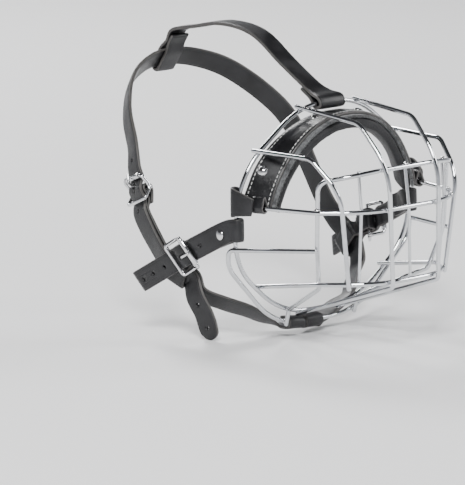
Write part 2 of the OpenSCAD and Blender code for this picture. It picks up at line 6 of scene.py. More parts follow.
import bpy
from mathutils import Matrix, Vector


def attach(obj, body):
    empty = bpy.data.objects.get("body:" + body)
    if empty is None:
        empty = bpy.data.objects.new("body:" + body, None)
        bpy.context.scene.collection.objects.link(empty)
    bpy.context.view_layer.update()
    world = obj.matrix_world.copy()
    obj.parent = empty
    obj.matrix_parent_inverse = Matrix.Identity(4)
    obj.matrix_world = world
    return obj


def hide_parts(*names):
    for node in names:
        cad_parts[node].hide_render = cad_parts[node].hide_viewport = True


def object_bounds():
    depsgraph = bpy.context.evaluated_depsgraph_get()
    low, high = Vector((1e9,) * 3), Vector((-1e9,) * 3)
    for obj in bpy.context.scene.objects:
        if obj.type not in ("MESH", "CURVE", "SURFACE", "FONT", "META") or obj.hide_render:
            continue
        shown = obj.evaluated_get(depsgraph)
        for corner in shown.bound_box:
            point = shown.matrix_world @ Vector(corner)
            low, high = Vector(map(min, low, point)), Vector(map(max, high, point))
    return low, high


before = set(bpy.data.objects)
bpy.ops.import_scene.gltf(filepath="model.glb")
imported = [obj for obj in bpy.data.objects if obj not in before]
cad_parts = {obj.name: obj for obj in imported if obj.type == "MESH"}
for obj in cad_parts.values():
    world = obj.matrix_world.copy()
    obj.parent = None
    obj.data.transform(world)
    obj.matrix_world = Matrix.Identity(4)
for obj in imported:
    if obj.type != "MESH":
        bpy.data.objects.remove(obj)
CAD_BOX = [list(corner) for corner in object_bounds()]

import logging
import math
from dataclasses import dataclass
from enum import Enum
from typing import Callable, Iterable, Sequence, Union

import bpy
from mathutils import Matrix, Vector, noise

log = logging.getLogger("muzzle")
MM = 0.001
SEED = 7

# Sizes shared with the solid model
WIRE_D = 3.0
BAR_D = 2.0
BITE = 0.2
LAP = WIRE_D - BITE
LAP_BAR = (WIRE_D + BAR_D) / 2 - BITE
WIRE_TAIL = 2.6
STRAP_W = 15.0
STRAP_T = 2.5
BASE_T = 2.0
GAP = 0.3
SLACK = 2.5 * GAP
LEAN = math.tan(math.radians(4.4))
PAD_W = 20.0
PAD_BACK = -1.5
PAD_RUN = 0.87 * PAD_W
COVER_T = 2.0
FELT_T = 2.0
LINER_T = 6.0
BUCKLE_D = 2.4
BUCKLE_L = 8.2
BUCKLE_W = STRAP_W / 2 + BUCKLE_D / 2 + 2.7
ROLLER_D = 3.8
PRONG_D = 1.9
PRONG_ROOT_R = 0.62
LAYER = STRAP_T / 2 + GAP + BASE_T / 2
WEAVE_LOW = -1.2
WEAVE_HIGH = 1.4
WEAVE_CLEAR = 0.5
FRONT_Z = WEAVE_LOW + STRAP_T / 2 + WEAVE_CLEAR + ROLLER_D / 2
REAR_Z = WEAVE_LOW + STRAP_T / 2 + WEAVE_CLEAR + BUCKLE_D / 2
CENTRE_Z = WEAVE_HIGH - STRAP_T / 2 - GAP - BASE_T - SLACK - BUCKLE_D / 2
FOLD_R = BUCKLE_D / 2 + SLACK + BASE_T / 2
PRONG_Z = FRONT_Z + ROLLER_D / 2 + 1.7 * GAP + PRONG_D / 2

# Places and directions that more than one piece uses
RAIL_Z = 9.0
RAIL_BEND = Vector((-60.5, -56, RAIL_Z))
NAPE = Vector((0, 154, 85))
NAPE_OUT = Vector((0, 0.8, 0.6))
TIP_FACE = Vector((-0.93, -0.25, -0.25))

# Details of the visual meshes
DOME = (0.0, 0.4, 0.75, 0.95)
DOME_REACH = 0.8
POLE_R = 0.06
TIP_SHARE = 0.06
END_NARROW, END_THIN = 0.988, 0.75
STITCH_INSET, STITCH_PITCH = 2.3, 3.1
SLOT_PUNCHES = (-3.3, -2.2, -1.1, 0.0, 1.1)
WELD_STEPS, WELD_REACH, WELD_SLACK, WELD_APART = 6, 4, 0.6, 9


class Side(Enum):
    """Which half of the muzzle a piece belongs to, as the sign that X takes."""

    RIGHT = 1
    LEFT = -1


class Body(Enum):
    """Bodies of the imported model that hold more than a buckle."""

    CAGE = "cage"


# ---------------------------------------------------------------- routes

@dataclass(frozen=True)
class Corner:
    """A corner of a bent wire's route.

    Args:
        p: Place of the sharp corner.
        r: Radius of the bend that rounds it; 0 at a free end.
    """

    p: Vector
    r: float = 0.0


@dataclass(frozen=True)
class Row:
    """One station of a strap.

    Args:
        p: Middle of the strap.
        face: Direction that the outer face looks.
        w: Share of the full width.
    """

    p: Vector
    face: Vector
    w: float = 1.0


def corner(x: float, y: float, z: float, r: float = 0.0) -> Corner:
    """A corner from its coordinates and bend radius."""
    return Corner(Vector((x, y, z)), r)


def row(p: Sequence[float], face: Sequence[float], w: float = 1.0) -> Row:
    """A strap station from plain tuples."""
    return Row(Vector(p), Vector(face), w)


def flip(v: Vector) -> Vector:
    """A vector mirrored in the middle plane."""
    return Vector((-v.x, v.y, v.z))


def flipped(rows: Iterable[Row]) -> list[Row]:
    """Rows mirrored in the middle plane, in the same order."""
    return [Row(flip(r.p), flip(r.face), r.w) for r in rows]


def both_sides(half: list[Corner]) -> list[Corner]:
    """A half route followed by its mirror image."""
    return half + [Corner(flip(c.p), c.r) for c in reversed(half)]


def bend_points(route: list[Corner], i: int, step: float = 5.0) -> list[Vector]:
    """Points along the arc that rounds one corner.

    Args:
        route: The route's corners, read as a closed loop.
        i: Index of the corner.
        step: Degrees between points.

    Returns:
        Points from the start of the arc to its end.
    """
    p = route[i].p
    into = (p - route[i - 1].p).normalized()
    out = (route[(i + 1) % len(route)].p - p).normalized()
    turn = into.angle(out)
    if turn < 1e-4 or route[i].r == 0:
        return [p]
    r = route[i].r
    c = p + (out - into).normalized() * r / math.cos(turn / 2)
    u = (p - into * r * math.tan(turn / 2) - c).normalized()
    n = max(4, math.ceil(math.degrees(turn) / step))
    return [c + r * (u * math.cos(turn * k / n) + into * math.sin(turn * k / n)) for k in range(n + 1)]


def centre_line(route: list[Corner], closed: bool = False) -> list[Vector]:
    """Centre line of a bent wire.

    Args:
        route: Corners of the route.
        closed: Whether the last corner leads back to the first.

    Returns:
        Points along the line; a closed line repeats its first point at its end.
    """
    if closed:
        line = [p for i in range(len(route)) for p in bend_points(route, i)]
        return line + [line[0].copy()]
    inner = [p for i in range(1, len(route) - 1) for p in bend_points(route, i)]
    return [route[0].p.copy()] + inner + [route[-1].p.copy()]


def crossing(line: list[Vector], axis: int, value: float, low: float = -1000.0) -> Vector:
    """First point of a line where a coordinate passes a value.

    Args:
        line: Points of the line.
        axis: 0, 1 or 2 for X, Y or Z.
        value: Value of the coordinate.
        low: Points at or below this height are passed over.

    Returns:
        The point on the line.

    Raises:
        ValueError: If the line never passes the value.
    """
    for a, b in zip(line, line[1:]):
        if (a[axis] - value) * (b[axis] - value) <= 0 and a[axis] != b[axis] and a.z > low:
            return a.lerp(b, (value - a[axis]) / (b[axis] - a[axis]))
    raise ValueError(f"no crossing of axis {axis} at {value}")


def tangent(p: Sequence[Vector], i: int) -> Vector:
    """Direction along a line of points at point i."""
    return (p[min(i + 1, len(p) - 1)] - p[max(i - 1, 0)]).normalized()


def catmull(a: Vector, b: Vector, c: Vector, d: Vector, t: float) -> Vector:
    """Point of a smooth curve between b and c."""
    cubic = (3 * b - a - 3 * c + d) * t ** 3
    return 0.5 * (2 * b + (c - a) * t + (2 * a - 5 * b + 4 * c - d) * t * t + cubic)


def smooth_points(p: list[Vector], n: int) -> list[Vector]:
    """A smooth curve through points, with n steps between neighbours."""
    last = len(p) - 1
    out = [catmull(p[max(i - 1, 0)], p[i], p[i + 1], p[min(i + 2, last)], k / n)
           for i in range(last) for k in range(n)]
    return out + [p[last].copy()]


def smooth_rows(rows: list[Row], n: int) -> list[Row]:
    """Strap stations with n smooth steps between neighbours."""
    p = smooth_points([r.p for r in rows], n)
    f = smooth_points([r.face for r in rows], n)
    w = smooth_points([Vector((r.w, 0, 0)) for r in rows], n)
    return [Row(a, b, c.x) for a, b, c in zip(p, f, w)]


# ---------------------------------------------------------------- meshes

def make_object(name: str, verts: Sequence[Vector], faces: Sequence[Sequence[int]],
                uv: Union[Sequence[tuple[float, float]], None] = None) -> bpy.types.Object:
    """A smooth-shaded object from points in millimetres.

    Args:
        name: Name of the object.
        verts: Points in millimetres.
        faces: Corner indices, counter-clockwise from outside.
        uv: One pair for each point, if the finish follows the surface.

    Returns:
        The linked object, at the origin.
    """
    mesh = bpy.data.meshes.new(name)
    mesh.from_pydata([tuple(v * MM) for v in verts], [], [tuple(f) for f in faces])
    mesh.shade_smooth()
    if uv is not None:
        layer = mesh.uv_layers.new(name="UVMap")
        for loop in mesh.loops:
            layer.data[loop.index].uv = uv[loop.vertex_index]
    mesh.validate()
    obj = bpy.data.objects.new(name, mesh)
    bpy.context.collection.objects.link(obj)
    return obj


def skin_faces(count: int, sides: int, closed: bool) -> list[list[int]]:
    """Faces of a skin over rings of points.

    Args:
        count: Number of rings.
        sides: Points in each ring, counter-clockwise seen along the travel.
        closed: Whether the last ring leads back to the first.

    Returns:
        Faces that point outwards, with flat ends on an open skin.
    """
    faces = []
    for i in range(count if closed else count - 1):
        a, b = i * sides, (i + 1) % count * sides
        faces += [[a + j, a + (j + 1) % sides, b + (j + 1) % sides, b + j] for j in range(sides)]
    if not closed:
        last = (count - 1) * sides
        faces += [list(reversed(range(sides))), [last + j for j in range(sides)]]
    return faces


def domed(end: Vector, out: Vector, r: float, share: float) -> tuple[Vector, float]:
    """One ring of a wire's domed end.

    Args:
        end: End of the wire's centre line.
        out: Direction out of the wire.
        r: Radius of the wire.
        share: 0 at the pole, 1 at the wire.

    Returns:
        The ring's middle and its radius.
    """
    return end + out * r * (1 - share) * DOME_REACH, max(POLE_R, r * math.sqrt(1 - (1 - share) ** 2))


def tube(name: str, line: list[Vector], radius: Union[float, Sequence[float]], sides: int = 14,
         closed: bool = False) -> bpy.types.Object:
    """A round wire along a line, with domed ends.

    Args:
        name: Name of the object.
        line: Points along the centre.
        radius: One radius, or one for each point.
        sides: Points round the wire.
        closed: Whether the line is a loop whose last point repeats the first.

    Returns:
        The wire.
    """
    pts = list(line[:-1]) if closed else list(line)
    rad = [float(radius)] * len(pts) if isinstance(radius, (int, float)) else list(radius)
    if not closed:
        head = [domed(pts[0], -tangent(pts, 0), rad[0], s) for s in DOME]
        tail = [domed(pts[-1], tangent(pts, len(pts) - 1), rad[-1], s) for s in reversed(DOME)]
        pts = [p for p, _ in head] + pts + [p for p, _ in tail]
        rad = [r for _, r in head] + rad + [r for _, r in tail]
    n = len(pts)
    dirs = [(pts[(i + 1) % n] - pts[i - 1]).normalized() if closed else tangent(pts, i) for i in range(n)]
    up = dirs[0].cross(Vector((0, 0, 1)) if abs(dirs[0].z) < 0.9 else Vector((1, 0, 0))).normalized()
    verts: list[Vector] = []
    for p, d, r in zip(pts, dirs, rad):
        up = (up - d * up.dot(d)).normalized()
        side = d.cross(up)
        verts += [p + r * (up * math.cos(2 * math.pi * k / sides) + side * math.sin(2 * math.pi * k / sides))
                  for k in range(sides)]
    return make_object(name, verts, skin_faces(n, sides, closed))


def rounded_outline(width: float, height: float, r: float, steps: int = 3,
                    crown: float = 0.0, across: int = 6) -> list[tuple[float, float]]:
    """Outline of a flat bar with rounded corners.

    Args:
        width: Full width.
        height: Full height.
        r: Corner radius.
        steps: Steps in each corner.
        crown: Extra height of the upper and lower face at the middle.
        across: Spans over each flat face.

    Returns:
        Pairs (across, height), counter-clockwise.
    """
    half_w, half_h = width / 2 - r, height / 2 - r
    pts: list[tuple[float, float]] = []
    for sx, sy, start in ((1, 1, 0), (-1, 1, 90), (-1, -1, 180), (1, -1, 270)):
        for k in range(steps + 1):
            a = math.radians(start + 90 * k / steps)
            pts.append((sx * half_w + r * math.cos(a), sy * half_h + r * math.sin(a)))
        if start in (0, 180):
            for k in range(1, across):
                x = sx * half_w * (1 - 2 * k / across)
                pts.append((x, sy * (height / 2 + crown * (1 - (x / (half_w + 1e-6)) ** 2))))
    return pts


def strap(name: str, rows: list[Row], thick: float, steps: int = 6, width: float = STRAP_W,
          crown: float = 0.12, closed: bool = False) -> bpy.types.Object:
    """A leather strap along its stations.

    Args:
        name: Name of the object.
        rows: Stations of the strap.
        thick: Thickness.
        steps: Smooth steps between stations.
        width: Full width.
        crown: How far the faces swell at the middle.
        closed: Whether the strap is a band whose last station repeats the first.

    Returns:
        The strap, with U along it in metres and V across it from -0.5 to 0.5.
    """
    fine = smooth_rows(rows, steps)
    pts = [r.p for r in fine]
    outline = rounded_outline(width, thick, 0.34 * thick, crown=crown)
    verts: list[Vector] = []
    uv: list[tuple[float, float]] = []
    travelled = 0.0
    count = len(fine) - 1 if closed else len(fine)
    for i in range(count):
        d = tangent(pts, i) if not closed else (pts[i + 1] - pts[i - 1 if i else len(pts) - 2]).normalized()
        across = fine[i].face.cross(d).normalized()
        out = d.cross(across)
        travelled += (pts[i] - pts[i - 1]).length if i else 0.0
        share = max(fine[i].w, TIP_SHARE)
        narrow, thin = (END_NARROW, END_THIN) if not closed and i in (0, count - 1) else (1.0, 1.0)
        for a, b in outline:
            verts.append(pts[i] + across * a * share * narrow + out * b * thin)
            uv.append((travelled * MM, a / width))
    return make_object(name, verts, skin_faces(count, len(outline), closed), uv)


def lathe(name: str, profile: Sequence[tuple[float, float]], sides: int = 20) -> bpy.types.Object:
    """A turned shape about Z.

    Args:
        name: Name of the object.
        profile: Pairs (radius, height) from the lower pole to the upper pole.
        sides: Faces round the axis.

    Returns:
        The turned object.
    """
    verts = [Vector((r * math.cos(2 * math.pi * k / sides), r * math.sin(2 * math.pi * k / sides), z))
             for r, z in profile for k in range(sides)]
    return make_object(name, verts, skin_faces(len(profile), sides, False))


def joined(name: str, parts: list[bpy.types.Object]) -> bpy.types.Object:
    """One object made of several.

    Args:
        name: Name of the result.
        parts: Objects to join; they are used up.

    Returns:
        The joined object.
    """
    with bpy.context.temp_override(active_object=parts[0], selected_editable_objects=parts):
        bpy.ops.object.join()
    parts[0].name = name
    return parts[0]


def reflect(mesh: bpy.types.Mesh) -> bpy.types.Mesh:
    """Turns a mesh into its mirror image in the middle plane, with its faces the right way round."""
    mesh.transform(Matrix.Scale(-1, 4, (1, 0, 0)))
    mesh.flip_normals()
    return mesh


def mirrored(obj: bpy.types.Object, name: str) -> bpy.types.Object:
    """A copy of an object, mirrored in the middle plane."""
    twin = bpy.data.objects.new(name, reflect(obj.data.copy()))
    bpy.context.collection.objects.link(twin)
    return twin


def baked(obj: bpy.types.Object) -> bpy.types.Object:
    """Replaces an object's mesh by its evaluated one and drops its modifiers."""
    bpy.context.view_layer.update()
    source = obj.evaluated_get(bpy.context.evaluated_depsgraph_get())
    mesh = bpy.data.meshes.new_from_object(source)
    obj.modifiers.clear()
    obj.data = mesh
    return obj


def punched(obj: bpy.types.Object, places: Sequence[tuple[Vector, Vector]], r: float,
            depth: float = 4.0) -> bpy.types.Object:
    """Cuts round holes through a strap.

    Args:
        obj: The strap.
        places: Pairs of a hole's middle and its axis.
        r: Radius of the holes.
        depth: Reach of the punch to either side.

    Returns:
        The strap with its holes.
    """
    tools = []
    for p, axis in places:
        tool = lathe("punch", [(r, -depth), (r, depth)], 16)
        turn = Vector((0, 0, 1)).rotation_difference(axis.normalized()).to_matrix().to_4x4()
        tool.data.transform(Matrix.Translation(p * MM) @ turn)
        tools.append(tool)
    tool = joined("punch", tools)
    cut = obj.modifiers.new("holes", "BOOLEAN")
    cut.operation, cut.solver, cut.object, cut.use_self = "DIFFERENCE", "EXACT", tool, True
    before = len(obj.data.vertices)
    baked(obj)
    bpy.data.objects.remove(tool)
    log.info("%s: %d holes, %d points (%d before)", obj.name, len(places), len(obj.data.vertices), before)
    return obj


# ---------------------------------------------------------------- geometry nodes

class ScatterTree:
    """A node tree that sets a small piece on every point, turned to the point's own direction."""

    AIM = "aim"

    def __init__(self) -> None:
        """Builds the tree with its named inputs."""
        self.tree = bpy.data.node_groups.new("scatter", "GeometryNodeTree")
        face = self.tree.interface
        face.new_socket("Points", in_out="INPUT", socket_type="NodeSocketGeometry")
        kinds = {"Piece": "NodeSocketObject", "Size": "NodeSocketFloat", "Spread": "NodeSocketFloat",
                 "Seed": "NodeSocketInt", "Finish": "NodeSocketMaterial"}
        self.sockets = {key: face.new_socket(key, in_out="INPUT", socket_type=kind).identifier
                        for key, kind in kinds.items()}
        face.new_socket("Geometry", in_out="OUTPUT", socket_type="NodeSocketGeometry")
        add, link = self.tree.nodes.new, self.tree.links.new
        given, out = add("NodeGroupInput"), add("NodeGroupOutput")
        info, place = add("GeometryNodeObjectInfo"), add("GeometryNodeInstanceOnPoints")
        aim, turn = add("GeometryNodeInputNamedAttribute"), add("FunctionNodeAlignRotationToVector")
        jitter, one = add("FunctionNodeRandomValue"), add("ShaderNodeMath")
        low, size = add("ShaderNodeMath"), add("ShaderNodeMath")
        real, dress = add("GeometryNodeRealizeInstances"), add("GeometryNodeSetMaterial")
        aim.data_type, turn.axis = "FLOAT_VECTOR", "Z"
        aim.inputs["Name"].default_value = self.AIM
        jitter.data_type, one.operation = "FLOAT", "ADD"
        low.operation, size.operation = "MULTIPLY", "MULTIPLY"
        one.inputs[0].default_value, low.inputs[1].default_value = 1.0, -1.0
        link(given.outputs["Points"], place.inputs["Points"])
        link(given.outputs["Piece"], info.inputs["Object"])
        link(info.outputs["Geometry"], place.inputs["Instance"])
        link(aim.outputs["Attribute"], turn.inputs["Vector"])
        link(turn.outputs["Rotation"], place.inputs["Rotation"])
        link(given.outputs["Spread"], low.inputs[0])
        link(low.outputs[0], jitter.inputs[2])
        link(given.outputs["Spread"], jitter.inputs[3])
        link(given.outputs["Seed"], jitter.inputs["Seed"])
        link(jitter.outputs[1], one.inputs[1])
        link(one.outputs[0], size.inputs[0])
        link(given.outputs["Size"], size.inputs[1])
        link(size.outputs[0], place.inputs["Scale"])
        link(place.outputs["Instances"], real.inputs[0])
        link(real.outputs[0], dress.inputs["Geometry"])
        link(given.outputs["Finish"], dress.inputs["Material"])
        link(dress.outputs[0], out.inputs[0])

    def scatter(self, name: str, places: Sequence[tuple[Vector, Vector]], piece: bpy.types.Object,
                finish: bpy.types.Material, size: float = 1.0, spread: float = 0.0) -> bpy.types.Object:
        """Sets a copy of a piece at every place.

        Args:
            name: Name of the result.
            places: Pairs of a point and the direction that the piece's Z takes.
            piece: The repeated piece; it stays.
            finish: Material of the result.
            size: Scale of every copy.
            spread: Largest random change of that scale.

        Returns:
            One plain mesh object.
        """
        points = make_object(name, [p for p, _ in places], [])
        aim = points.data.attributes.new(self.AIM, "FLOAT_VECTOR", "POINT")
        for i, (_, d) in enumerate(places):
            aim.data[i].vector = d.normalized()
        mod = points.modifiers.new("scatter", "NODES")
        mod.node_group = self.tree
        given = {"Piece": piece, "Size": size, "Spread": spread, "Seed": SEED, "Finish": finish}
        for key, value in given.items():
            mod[self.sockets[key]] = value
        baked(points)
        if not points.data.materials:
            points.data.materials.append(finish)
        points.data.shade_smooth()
        return points


# ---------------------------------------------------------------- finishes

class Value:
    """A socket of a shader tree that takes part in arithmetic."""

    def __init__(self, shader: "Shader", socket: bpy.types.NodeSocket) -> None:
        """Wraps a socket of a shader."""
        self.shader, self.socket = shader, socket

    def _math(self, op: str, *terms: Union["Value", float]) -> "Value":
        """The result of a Math node on terms."""
        node = self.shader.node("ShaderNodeMath", {"operation": op}, dict(enumerate(terms)))
        return Value(self.shader, node.outputs[0])

    def __add__(self, other: Union["Value", float]) -> "Value":
        """self + other"""
        return self._math("ADD", self, other)

    def __sub__(self, other: Union["Value", float]) -> "Value":
        """self - other"""
        return self._math("SUBTRACT", self, other)

    def __rsub__(self, other: float) -> "Value":
        """other - self"""
        return self._math("SUBTRACT", other, self)

    def __mul__(self, other: Union["Value", float]) -> "Value":
        """self * other"""
        return self._math("MULTIPLY", self, other)

    __radd__, __rmul__ = __add__, __mul__

    def absolute(self) -> "Value":
        """Its size without its sign."""
        return self._math("ABSOLUTE", self)

    def step(self, low: float, high: float) -> "Value":
        """0 below low, 1 above high, smooth between."""
        node = self.shader.node("ShaderNodeMapRange", {"interpolation_type": "SMOOTHSTEP"},
                                {"Value": self, "From Min": low, "From Max": high})
        return Value(self.shader, node.outputs[0])

    def ridge(self, centre: float, half: float) -> "Value":
        """1 at a centre, falling to 0 at a distance."""
        return 1.0 - (self - centre).absolute().step(0.0, half)


Colour = tuple[float, float, float]


class Shader:
    """A material under construction."""

    def __init__(self, name: str) -> None:
        """Starts a material with an empty tree and a Principled shader."""
        self.material = bpy.data.materials.new(name)
        self.material.use_nodes = True
        self.tree = self.material.node_tree
        self.tree.nodes.clear()
        self.out = self.tree.nodes.new("ShaderNodeOutputMaterial")
        self.base = self.tree.nodes.new("ShaderNodeBsdfPrincipled")
        self.tree.links.new(self.base.outputs[0], self.out.inputs[0])
        self.coords = self.tree.nodes.new("ShaderNodeTexCoord")

    def node(self, kind: str, settings: dict, values: dict) -> bpy.types.Node:
        """Adds a node.

        Args:
            kind: Type of the node.
            settings: Its settings, set before its sockets.
            values: Numbers, colours or links for its sockets, by name or index.

        Returns:
            The node.
        """
        node = self.tree.nodes.new(kind)
        for key, value in settings.items():
            setattr(node, key, value)
        for key, value in values.items():
            self.feed(node.inputs[key], value)
        return node

    def feed(self, socket: bpy.types.NodeSocket, value: object) -> None:
        """Links a value to a socket, or sets the socket to a number or colour."""
        if isinstance(value, Value):
            self.tree.links.new(value.socket, socket)
        elif isinstance(value, bpy.types.NodeSocket):
            self.tree.links.new(value, socket)
        elif socket.type == "RGBA":
            socket.default_value = (*value, 1.0)
        else:
            socket.default_value = value

    def noise(self, scale: float, detail: float = 4.0, stretch: Colour = (1.0, 1.0, 1.0)) -> Value:
        """Soft noise over the object, from 0 to 1."""
        place = self.node("ShaderNodeMapping", {},
                          {"Vector": self.coords.outputs["Object"], "Scale": stretch})
        node = self.node("ShaderNodeTexNoise", {},
                         {"Vector": place.outputs[0], "Scale": scale, "Detail": detail})
        return Value(self, node.outputs[0])

    def pebbles(self, scale: float) -> Value:
        """Distance to the nearest cell edge of a pebbled grain."""
        node = self.node("ShaderNodeTexVoronoi", {"feature": "DISTANCE_TO_EDGE"},
                         {"Vector": self.coords.outputs["Object"], "Scale": scale})
        return Value(self, node.outputs["Distance"])

    def surface(self, index: int) -> Value:
        """One coordinate of the piece's own map: 0 along it in metres, 1 across it."""
        split = self.node("ShaderNodeSeparateXYZ", {}, {0: self.coords.outputs["UV"]})
        return Value(self, split.outputs[index])

    def blend(self, mask: Value, low: object, high: object) -> bpy.types.NodeSocket:
        """A colour that goes from low to high with a mask."""
        node = self.node("ShaderNodeMix", {"data_type": "RGBA"}, {0: mask, 6: low, 7: high})
        return node.outputs[2]

    def bump(self, height: Value, distance: float, strength: float = 1.0) -> None:
        """Feeds a bump of a height to the shader."""
        node = self.node("ShaderNodeBump", {}, {"Height": height, "Distance": distance, "Strength": strength})
        self.feed(self.base.inputs["Normal"], node.outputs[0])

    def finish(self, **sockets: object) -> bpy.types.Material:
        """Sets the shader's sockets, named with _ for spaces, and returns the material."""
        for key, value in sockets.items():
            self.feed(self.base.inputs[key.replace("_", " ")], value)
        return self.material


@dataclass(frozen=True)
class ChromeFinish:
    """Bright plated metal.

    Args:
        name: Name of the material.
        colour: Colour of the plate.
        rough: Lowest and highest roughness.
        haze: Colour of the handled, duller areas.
        wear: Size of the fine scratches.
    """

    name: str
    colour: Colour = (0.66, 0.67, 0.69)
    rough: tuple[float, float] = (0.04, 0.14)
    haze: Colour = (0.46, 0.47, 0.49)
    wear: float = 0.00002

    def build(self) -> bpy.types.Material:
        """The material."""
        s = Shader(self.name)
        cloud = s.noise(70.0, 5.0)
        scratch = s.noise(900.0, 3.0, (1.0, 0.25, 1.0))
        haze = cloud.step(0.45, 0.75)
        s.bump(scratch * 0.6 + cloud * 0.4, self.wear, 0.6)
        low, high = self.rough
        return s.finish(Base_Color=s.blend(haze * 0.6, self.colour, self.haze), Metallic=1.0,
                        Roughness=haze * (high - low) + scratch * 0.03 + low)


@dataclass(frozen=True)
class LeatherFinish:
    """Dyed leather with grain, creases and pale edges, partly rubbed wear and partly a painted highlight.

    Args:
        name: Name of the material.
        dark: Colour of the deep dye.
        light: Colour where the dye is thin.
        edge: Colour of the pale edge: partly rubbed wear, partly a painted highlight.
        rough: Lowest and highest roughness.
        grain: Cells of the grain per metre.
        depth: Depth of the grain in metres.
        coat: Weight of the clear dressing.
        creased: Whether a line is pressed along both edges.
        ribs_from: Distance along the strap, in metres, past which it is ribbed lengthwise; 0 for none.
    """

    name: str
    dark: Colour = (0.005, 0.005, 0.006)
    light: Colour = (0.017, 0.017, 0.019)
    edge: Colour = (0.075, 0.071, 0.068)
    rough: tuple[float, float] = (0.3, 0.5)
    grain: float = 900.0
    depth: float = 0.00012
    coat: float = 0.12
    creased: bool = False
    ribs_from: float = 0.0

    def build(self) -> bpy.types.Material:
        """The material."""
        s = Shader(self.name)
        cells = s.pebbles(self.grain).step(0.0, 0.28)
        cloud = s.noise(55.0, 6.0)
        fine = s.noise(1600.0, 3.0)
        mottle = cloud.step(0.35, 0.7)
        tone = s.blend(mottle, self.dark, self.light)
        height = cells * 0.55 + fine * 0.25 + cloud * 0.5
        rough = mottle * (self.rough[1] - self.rough[0]) + fine * 0.08 + self.rough[0]
        if self.creased:
            across = s.surface(1).absolute()
            # Paler colour along both sides of the strap: partly a rubbed, raw edge and partly a painted
            # highlight where the sides catch the light.
            edge_wear_and_highlight = across.step(0.455, 0.5) * (0.35 + s.noise(260.0, 4.0))
            wrinkle = s.node("ShaderNodeTexWave", {"wave_type": "BANDS", "bands_direction": "X"},
                             {"Vector": s.coords.outputs["UV"], "Scale": 55.0,
                              "Distortion": 5.0, "Detail": 3.0})
            lines = Value(s, wrinkle.outputs["Fac"]) * s.noise(38.0, 2.0).step(0.5, 0.72)
            groove = across.ridge(0.40, 0.022)
            tone = s.blend(edge_wear_and_highlight, tone, self.edge)
            height = height - groove * 2.2 - lines * 0.7
            if self.ribs_from:
                ribs = across.ridge(0.0, 0.05) + across.ridge(0.2, 0.04)
                height = height - ribs * s.surface(0).step(self.ribs_from, self.ribs_from + 0.006) * 3.0
            rough = rough + edge_wear_and_highlight * 0.15
        s.bump(height, self.depth, 0.85)
        return s.finish(Base_Color=tone, Roughness=rough, Coat_Weight=self.coat, Coat_Roughness=0.3,
                        Specular_IOR_Level=0.38)


@dataclass(frozen=True)
class FeltFinish:
    """Pressed wool, with shade painted darker into the hollows between its fibres.

    Args:
        name: Name of the material.
        dark: Painted shade in the hollows.
        light: Colour of the tops of the fibres.
    """

    name: str
    dark: Colour = (0.035, 0.036, 0.038)
    light: Colour = (0.15, 0.155, 0.16)

    def build(self) -> bpy.types.Material:
        """The material."""
        s = Shader(self.name)
        tuft = s.noise(420.0, 8.0)
        strand = s.noise(1500.0, 4.0, (1.0, 3.0, 1.0))
        s.bump(tuft + strand * 0.5, 0.0006)
        # Painted shade: the colour follows the bump and goes dark where it dips, in the hollows between the
        # fibres.
        painted_hollow_shade_mask = (tuft * 0.6 + strand * 0.4).step(0.35, 0.65)
        return s.finish(Base_Color=s.blend(painted_hollow_shade_mask, self.dark, self.light), Roughness=tuft * 0.1 + 0.86,
                        Sheen_Weight=0.5)


@dataclass(frozen=True)
class ThreadFinish:
    """Waxed stitching thread, with shade painted between its strands.

    Args:
        name: Name of the material.
        colour: Colour of the thread.
        shade: Painted shade between its strands.
    """

    name: str
    colour: Colour = (0.72, 0.72, 0.7)
    shade: Colour = (0.36, 0.36, 0.35)

    def build(self) -> bpy.types.Material:
        """The material."""
        s = Shader(self.name)
        twist = s.noise(2600.0, 2.0, (1.0, 1.0, 3.0))
        s.bump(twist, 0.0001)
        # Painted shade: the colour follows the twist bump and goes dark where it dips between the strands.
        tone = s.blend(twist.step(0.35, 0.6), self.shade, self.colour)
        return s.finish(Base_Color=tone, Roughness=0.3 * twist + 0.4)


@dataclass(frozen=True)
class FloorFinish:
    """Plain pale studio floor.

    Args:
        name: Name of the material.
        colour: Colour of the floor.
    """

    name: str
    colour: Colour = (0.93, 0.93, 0.935)

    def build(self) -> bpy.types.Material:
        """The material."""
        return Shader(self.name).finish(Base_Color=self.colour, Roughness=0.65)


